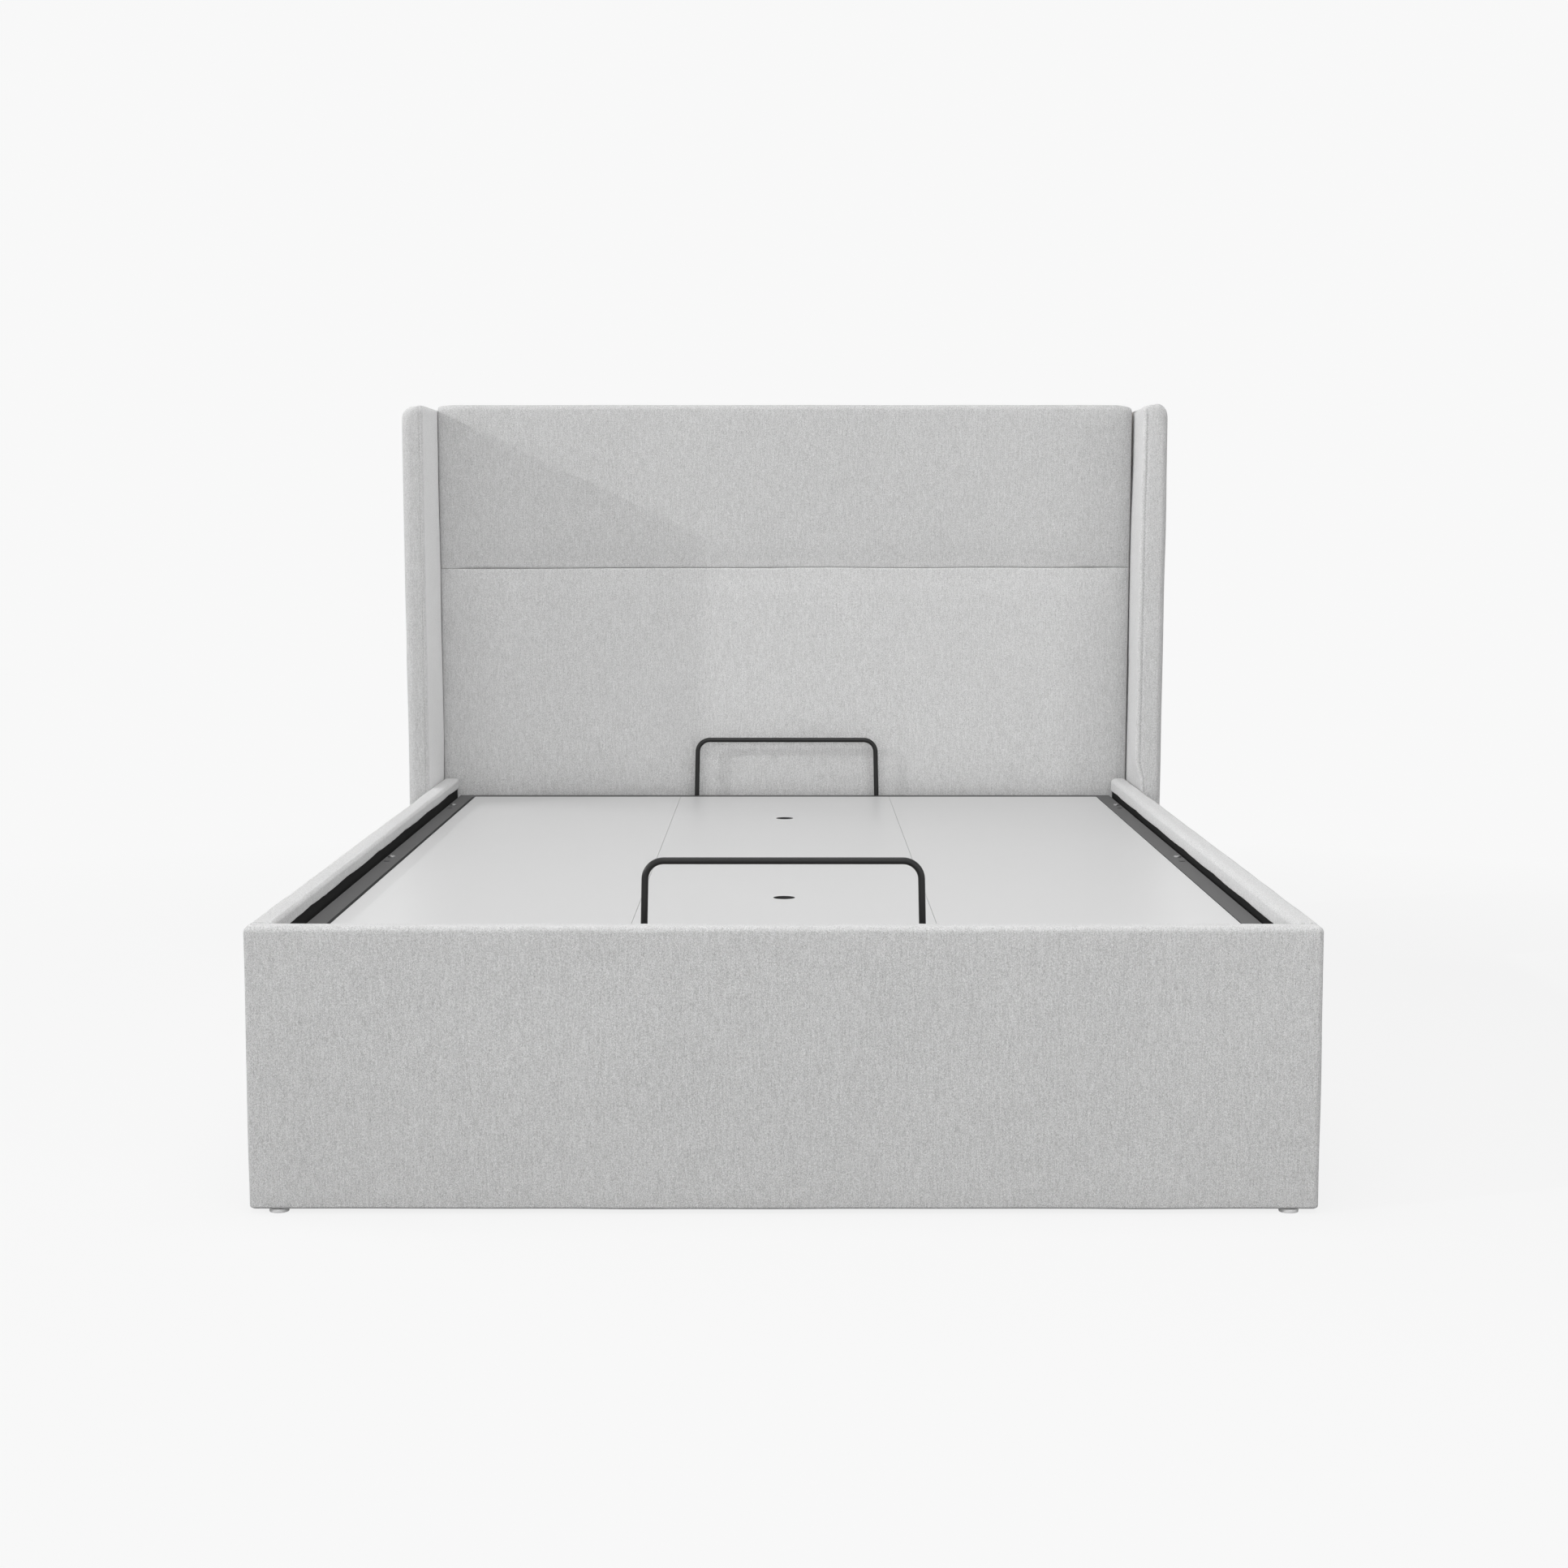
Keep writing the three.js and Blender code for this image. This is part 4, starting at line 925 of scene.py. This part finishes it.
def pad_recess(x, z, start, end, half, swelling, lean):
    """How far the pad's face lies behind its proudest plane."""
    strength = seam_strength(x, half)
    near = min(z - start, end - z)
    side = drawn_in(half - abs(x), PAD_SIDE_DROP, PAD_SIDE_ROLL)
    slack = (PAD_SWELL - swelling(x, z)) * lerp(0.35, 1, smooth_step(half - abs(x), 0.03, 0.1))
    seam = drawn_in(near, PAD_SEAM_DROP * strength, PAD_SEAM_ROLL)
    pull = 0.5 + 0.5 * noise.noise(Vector((x * 22, z * 3, 1.7)))
    pucker = PAD_WRINKLE * strength * math.exp(-near / 0.03) * pull
    slow = PAD_WRINKLE * (0.5 + 0.5 * noise.noise(Vector((x * 3, z * 4, 8.1))))
    return side + slack + seam + pucker + slow + lean


def seam_line(x, height, half):
    """The seam wanders a little from a straight line, and sinks towards the left."""
    sink = SEAM_SINK * smooth_step(-x, -0.1, half)
    return height - sink + SEAM_WANDER * noise.noise(Vector((x * 5, 0.3, 0)))


def pad_columns(half):
    """Places across a pad, close together where its sides roll back."""
    near = [half - distance for distance in SIDE_STATIONS]
    middle = spaced(-near[-1], near[-1], PAD_STEP)
    return [-x for x in near] + middle[1:-1] + near[::-1]


def roll_heights(low, high):
    """Heights on a pad's face, close together where it rolls into its seams."""
    middle = spaced(low + SEAM_STATIONS[-1], high - SEAM_STATIONS[-1], PAD_STEP)
    return [low + d for d in SEAM_STATIONS] + middle[1:-1] + [high - d for d in SEAM_STATIONS[::-1]]


def make_lower_pad():
    low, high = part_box("headboard_lower_pad")
    back = low.y + PAD_BODY
    swelling = make_swelling(low, high)
    rings = []
    for x in pad_columns(high.x):
        top = seam_line(x, high.z, high.x)
        ring = [Vector((x, back, top)), Vector((x, back, low.z))]
        for z in roll_heights(low.z, top):
            lean = PAD_LEAN * (z - low.z) / (high.z - low.z)
            ring.append(Vector((x, low.y + pad_recess(x, z, low.z, top, high.x, swelling, lean), z)))
        rings.append([Vector((spread(p.x, p.z, high.x), p.y, p.z)) for p in ring])
    piece = finish_mesh("headboard_lower_pad_fabric", loft(rings), MATERIALS["fabric"])
    return settle(piece, "base", "upholstery_fabric", "headboard_lower_pad")


def make_upper_pad():
    """The upper pad rolls over the headboard's top, and down to the panel behind it."""
    low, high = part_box("headboard_upper_pad")
    back = low.y + PAD_BODY
    half = high.x
    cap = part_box("headboard_panel")[1].z + PAD_CLEARANCE
    swelling = make_swelling(low, Vector((high.x, high.y, high.z + PAD_SWELL_REACH)))
    rings = []
    for x in pad_columns(half):
        start = seam_line(x, low.z, half) + PAD_CLEARANCE
        top_drop = PAD_TOP_DROP["left" if x < 0 else "right"]
        crown = high.z - drawn_in(half - abs(x), top_drop, PAD_TOP_ROLL)
        crown -= PAD_SAG * (0.5 + 0.5 * noise.noise(Vector((x * 6, 2.2, 0))))
        shoulder = crown - PAD_TOP_RADIUS
        back_round = min(top_drop, crown - cap) * 0.6
        ring = [Vector((x, back, start))]
        for z in [start + d for d in SEAM_STATIONS] + spaced(start + SEAM_STATIONS[-1], shoulder, PAD_STEP)[1:]:
            lean = PAD_LEAN * (high.z - z) / (high.z - low.z)
            ring.append(Vector((x, low.y + pad_recess(x, z, start, 2 * high.z, half, swelling, lean), z)))
        face = ring[-1].y
        for i in range(1, CROWN_STEPS + 1):
            turn = QUARTER * i / CROWN_STEPS
            y = face + PAD_TOP_RADIUS * (1 - math.cos(turn))
            ring.append(Vector((x, y, shoulder + PAD_TOP_RADIUS * math.sin(turn))))
        for y in spaced(face + PAD_TOP_RADIUS, high.y - back_round, 0.02)[1:]:
            ring.append(Vector((x, y, crown)))
        for i in range(1, BACK_STEPS + 1):
            turn = QUARTER * i / BACK_STEPS
            y = high.y - back_round * (1 - math.sin(turn))
            ring.append(Vector((x, y, crown - back_round * (1 - math.cos(turn)))))
        ring += [Vector((x, high.y, cap)), Vector((x, back, cap))]
        rings.append([Vector((spread(p.x, p.z, half), p.y, p.z)) for p in ring])
    # The upper pad takes the darker copy of the chenille: painted shade.
    piece = finish_mesh("headboard_upper_pad_fabric", loft(rings), MATERIALS["fabric_upper_pad_painted_shade"])
    return settle(piece, "base", "upholstery_fabric", "headboard_upper_pad")


# Wings


def wing_radii(side, low, high):
    """The front turns in a wide curve at the outside and in a tight one at the inner seam."""

    def radii_at(point):
        share = (point.x - low.x) / (high.x - low.x)
        outward = share if side == "right" else 1 - share
        blend = smooth_step(outward, 0.25, 0.75)
        behind = smooth_step(point.y, low.y + 0.02, low.y + 0.06)
        inner = lerp(WING_FRONT_INNER_RADIUS, WING_INNER_RADIUS, behind)
        crowned = smooth_step(point.z, high.z - 0.07, high.z - 0.02)
        across = lerp(inner, lerp(WING_OUTER_RADIUS[side], WING_CROWN_RADIUS, crowned), blend)
        front = point.y < (low.y + high.y) / 2
        along = lerp(WING_FRONT_INNER_RADIUS, WING_FRONT_RADIUS, blend) if front else WING_BACK_RADIUS
        top = point.z > (low.z + high.z) / 2
        up = lerp(WING_TOP_INNER_RADIUS, WING_TOP_RADIUS, blend) if top else WING_BACK_RADIUS
        return Vector((min(across, (high.x - low.x) * 0.49), along, up))

    return radii_at


def wing_inner_shift(side, low, high, place):
    """How far the wing's inner side stands outward of its plane: it leans at the top, and toes in above the rail."""
    toe = WING_INNER_TOE[side] * (1 - smooth_step(place.y, low.y, high.y - WING_TOE_END))
    leaning = WING_TOP_SHIFT[side] * smooth_step(place.z, *WING_TOP_SHIFT_HEIGHTS)
    return WING_INNER_SHIFT[side] + leaning - toe * smooth_step(place.z, *WING_TOE_HEIGHTS)


def wing_shape(side, low, high):
    """Leans the wing outward, slopes its top down towards the bed and draws the seam in beside its inner edge."""
    outward = OUTWARD[side]
    inner = low.x if side == "right" else high.x

    def shape(place, normal):
        away = (abs(place.x - inner) - WING_SEAM_IN) / WING_SEAM_REACH
        dent = WING_SEAM_DEPTH * math.exp(-away * away) * max(-normal.y, 0)
        place = cloth_over_board(place, normal) - normal * dent
        share = outward * (place.x - inner) / (high.x - low.x)
        place.x += outward * wing_inner_shift(side, low, high, place) * (1 - smooth_step(share, 0, 0.5))
        near_top = smooth_step(place.z, high.z - WING_TOP_ZONE, high.z)
        peak = smooth_step(share, -WING_PEAK_SHARE, WING_PEAK_SHARE) * 2 - 1
        rise = lerp(-WING_INNER_FALL[side], WING_PEAK_RISE[side], peak)
        return Vector((place.x + outward * wing_lean(place.z), place.y, place.z + near_top * rise))

    return shape


def make_wing(side):
    node = f"{side}_wing_cover"
    low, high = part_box(node)
    edges = (WING_FRONT_INNER_RADIUS, WING_CROWN_RADIUS * 0.9)[:: OUTWARD[side]]
    low_radii = Vector((edges[0], WING_FRONT_RADIUS, WING_BACK_RADIUS))
    high_radii = Vector((edges[1], WING_BACK_RADIUS, WING_TOP_RADIUS))
    inner = low.x if side == "right" else high.x
    seam = [inner + OUTWARD[side] * station for station in WING_SEAM_STATIONS]
    shape, radii_at = wing_shape(side, low, high), wing_radii(side, low, high)
    bm = soft_block(low, high, low_radii, high_radii, WING_STEPS, shape, radii_at, (seam, (), ()))
    # Each wing takes its own darker copy of the chenille, with more sheen: painted shade.
    piece = finish_mesh(f"{side}_wing_fabric", bm, MATERIALS[f"fabric_{side}_wing"])
    return settle(piece, "base", "upholstery_fabric", node)


def make_wing_board(side):
    """The board in a wing leans as its cover does, and its front edges are rounded over."""
    node = f"{side}_wing_board"
    low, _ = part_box(node)
    bm = clean_copy(node)
    for vert in bm.verts:
        vert.co.x += OUTWARD[side] * wing_lean(vert.co.z)

    def at_front(edge):
        return edge.calc_length() > 1 and all(vert.co.y < low.y + EDGE_EASE for vert in edge.verts)

    ease_edges(bm, [edge for edge in sharp_edges(bm) if at_front(edge)], WING_BOARD_ROUND)
    piece = finish_mesh(f"{side}_wing_board_finished", bm, MATERIALS["board"])
    return settle(piece, "base", "board_core", node)


def add_stitch(bm, start, end, radius):
    """One thread loop, as a six-sided rod with tapered ends."""
    along = (end - start).normalized()
    across = along.orthogonal().normalized()
    third = along.cross(across)
    rings = []
    for share, size in ((0, 0.35), (0.2, 1), (0.8, 1), (1, 0.35)):
        centre = start.lerp(end, share)
        ring = []
        for i in range(6):
            turn = math.tau * i / 6
            ring.append(centre + (across * math.cos(turn) + third * math.sin(turn)) * radius * size)
        rings.append(ring)
    add_loft(bm, rings)


def make_wing_stitches(side):
    low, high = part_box(f"{side}_wing_cover")
    inner = low.x if side == "right" else high.x
    share = WING_SEAM_IN / (high.x - low.x)
    y = low.y + WING_SEAM_DEPTH * 0.8
    bm = bmesh.new()
    z = low.z + STITCH_START
    while z < high.z - STITCH_END:
        shift = wing_inner_shift(side, low, high, Vector((inner, low.y, z))) * (1 - smooth_step(share, 0, 0.5))
        x = inner + OUTWARD[side] * (WING_SEAM_IN + shift + wing_lean(z))
        add_stitch(bm, Vector((x, y, z)), Vector((x, y, z + STITCH_LENGTH)), STITCH_RADIUS)
        z += STITCH_PITCH
    piece = finish_mesh(f"{side}_wing_stitching", bm, MATERIALS["thread"])
    return settle(piece, "base", "upholstery_fabric")


# Mattress bars


def tube(path, radius):
    """A round rod along a path that lies in an X-Z plane."""
    across = Vector((0, 1, 0))
    rings = []
    for i, centre in enumerate(path):
        before = path[max(i - 1, 0)]
        after = path[min(i + 1, len(path) - 1)]
        up = across.cross((after - before).normalized())
        turns = [math.tau * k / BAR_SIDES for k in range(BAR_SIDES)]
        rings.append([centre + (up * math.cos(turn) + across * math.sin(turn)) * radius for turn in turns])
    return loft(rings)


def make_mattress_bar(node):
    low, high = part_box(node)
    radius = (high.y - low.y) / 2
    y = (low.y + high.y) / 2
    base_half = high.x - radius + BAR_WIDEN[node]
    top = high.z - radius + BAR_RISE[node]
    top_half = base_half - BAR_LEAN
    leg = Vector((top_half - base_half, 0, top - low.z)).normalized()
    corner = Vector((top_half, y, top))
    start = corner - leg * BAR_BEND
    end = corner - Vector((BAR_BEND, 0, 0))
    centre = Vector((end.x, y, end.z - BAR_BEND))
    right = [Vector((base_half, y, low.z))]
    for i in range(BEND_STEPS + 1):
        share = i / BEND_STEPS
        turn = QUARTER * share
        arc = centre + Vector((math.cos(turn), 0, math.sin(turn))) * BAR_BEND
        straighten = (start - (centre + Vector((BAR_BEND, 0, 0)))) * (1 - share)
        right.append(arc + straighten)
    left = [Vector((-p.x, p.y, p.z)) for p in right]
    shift = Vector((BAR_SHIFT[node], 0, 0))
    bm = tube([p + shift for p in left + right[::-1]], radius)
    piece = finish_mesh(f"{node}_rod", bm, MATERIALS["rod"])
    return settle(piece, "platform", "black_painted_steel", node)


# Bolt heads, and black disks of painted shade over open holes, on top of the platform's side tubes


def add_turned(bm, centre, profile):
    """A turned shape on a vertical axis; the profile is radius and height pairs, from below to above."""
    turns = [math.tau * i / TURNED_SIDES for i in range(TURNED_SIDES)]
    rings = []
    for radius, height in profile:
        rings.append([centre + Vector((math.cos(turn) * radius, math.sin(turn) * radius, height)) for turn in turns])
    add_loft(bm, rings)


def make_tube_fasteners():
    """A bolt head and, beside it, a black disk that paints the shade of an empty hole, above both ends of each top
    rail.
    """
    bolts, shade_disks = bmesh.new(), bmesh.new()
    for side, outward in OUTWARD.items():
        low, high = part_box(f"{side}_platform_side_tube")
        rail_low, rail_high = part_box(f"{side}_lift_top_rail")
        x = (high.x if side == "right" else low.x) - outward * BOLT_INSET
        for y in (rail_low.y + BOLT_END_INSET, rail_high.y - BOLT_END_INSET):
            add_turned(bolts, Vector((x, y, high.z)), BOLT_PROFILE)
            add_turned(shade_disks, Vector((x, y - SHADE_DISK_SPACING, high.z)), SHADE_DISK_PROFILE)
    settle(finish_mesh("platform_bolt_heads", bolts, MATERIALS["zinc"]), "platform", "polished_steel")
    settle(finish_mesh("platform_hole_painted_shade_disks", shade_disks, MATERIALS["painted_shade_black"]), "platform", "glide_plastic")


# Carried-over hard parts


def make_hard_parts():
    for part in frame["record"]["subparts"]:
        node, slot = part["node"], part["material_slot"]
        if slot in SHAPED_SLOTS or node in SHAPED_PARTS:
            continue
        finish = TIMBER_GRAIN.get(node, "timber_z") if slot == "timber" else FINISHES[slot]
        eased(node, MATERIALS[finish], slot)


# Stage, light and camera


def camera_ray_mix(tree, seen, lit):
    """Shows one shader to the camera and to reflections, and another to the light that falls on the object."""
    rays = add_node(tree, "ShaderNodeLightPath").outputs
    direct = math_node(tree, "MAXIMUM", rays["Is Camera Ray"], rays["Is Glossy Ray"])
    direct = math_node(tree, "MAXIMUM", direct, rays["Is Transmission Ray"])
    return add_node(tree, "ShaderNodeMixShader", {"Fac": direct, 1: lit, 2: seen}).outputs["Shader"]


def make_world():
    world = bpy.data.worlds.new("soft_studio")
    bpy.context.scene.world = world
    world.use_nodes = True
    tree = world.node_tree
    tree.nodes.clear()
    lit = add_node(tree, "ShaderNodeBackground", {"Color": grey(1), "Strength": SKY})
    seen = add_node(tree, "ShaderNodeBackground", {"Color": grey(BACKDROP), "Strength": 1.0})
    mix = camera_ray_mix(tree, seen.outputs["Background"], lit.outputs["Background"])
    add_node(tree, "ShaderNodeOutputWorld", {"Surface": mix})


def make_floor():
    """A floor that keeps the bed's shadow near it, and fades into the backdrop farther off."""
    bm = bmesh.new()
    bmesh.ops.create_grid(bm, x_segments=8, y_segments=8, size=FLOOR_HALF)
    material = bpy.data.materials.new("pale_floor")
    material.use_nodes = True
    tree = material.node_tree
    tree.nodes.clear()
    glow = add_node(tree, "ShaderNodeEmission", {"Color": grey(1), "Strength": FLOOR_GLOW}).outputs["Emission"]
    shaded = add_node(tree, "ShaderNodeBsdfDiffuse", {"Color": grey(FLOOR_SEEN)}).outputs["BSDF"]
    near = add_node(tree, "ShaderNodeAddShader", {0: glow, 1: shaded}).outputs["Shader"]
    far = add_node(tree, "ShaderNodeEmission", {"Color": grey(BACKDROP), "Strength": 1.0}).outputs["Emission"]
    distance = add_node(tree, "ShaderNodeVectorMath", {0: own_place(tree)}, operation="LENGTH").outputs["Value"]
    fade = ramp(tree, distance, *FLOOR_FADE)
    seen = add_node(tree, "ShaderNodeMixShader", {"Fac": fade, 1: near, 2: far}).outputs["Shader"]
    lit = add_node(tree, "ShaderNodeBsdfDiffuse", {"Color": grey(FLOOR_BOUNCE)}).outputs["BSDF"]
    add_node(tree, "ShaderNodeOutputMaterial", {"Surface": camera_ray_mix(tree, seen, lit)})
    finish_mesh("floor", bm, material, smooth=False)


def hang_lamp(lamp, place, direction):
    holder = bpy.data.objects.new(lamp.name, lamp)
    holder.location = place
    holder.rotation_euler = Vector(direction).to_track_quat("-Z", "Y").to_euler()
    holder.visible_camera = False
    bpy.context.scene.collection.objects.link(holder)


def make_lamps():
    key = bpy.data.lights.new("key", "SUN")
    key.energy = KEY_STRENGTH
    key.angle = KEY_SOFTNESS
    hang_lamp(key, KEY_PLACE, KEY_DIRECTION)
    for name, place, aim, width, height, watts in SOFT_LAMPS:
        lamp = bpy.data.lights.new(name, "AREA")
        lamp.shape = "RECTANGLE"
        lamp.size = width
        lamp.size_y = height
        lamp.energy = watts
        hang_lamp(lamp, place, Vector(aim) - Vector(place))


def make_camera():
    low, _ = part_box("foot_panel_cover")
    data = bpy.data.cameras.new("camera")
    data.sensor_width = SENSOR_WIDTH
    data.lens = FOCAL_PIXELS * SENSOR_WIDTH / IMAGE_WIDTH
    data.clip_end = CAMERA_REACH
    camera = bpy.data.objects.new("camera", data)
    camera.location = (CAMERA_SIDE, low.y - CAMERA_BACK, low.z + CAMERA_ABOVE_PANEL_FOOT)
    camera.rotation_euler = (QUARTER - CAMERA_PITCH, 0, CAMERA_YAW)
    bpy.context.scene.collection.objects.link(camera)
    bpy.context.scene.camera = camera


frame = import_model()
bpy.context.scene.view_settings.view_transform = "Standard"

MATERIALS = make_materials()
make_camera()
make_world()
make_floor()
make_lamps()
make_foot_panel()
make_lower_pad()
make_upper_pad()
for side_name in OUTWARD:
    make_rail(side_name)
    make_wing(side_name)
    make_wing_board(side_name)
    make_wing_stitches(side_name)
for bar in ("foot_mattress_bar", "head_mattress_bar"):
    make_mattress_bar(bar)
make_linings()
make_back_staples()
make_platform_boards()
make_tube_shade_strips()
make_hard_parts()
make_tube_fasteners()
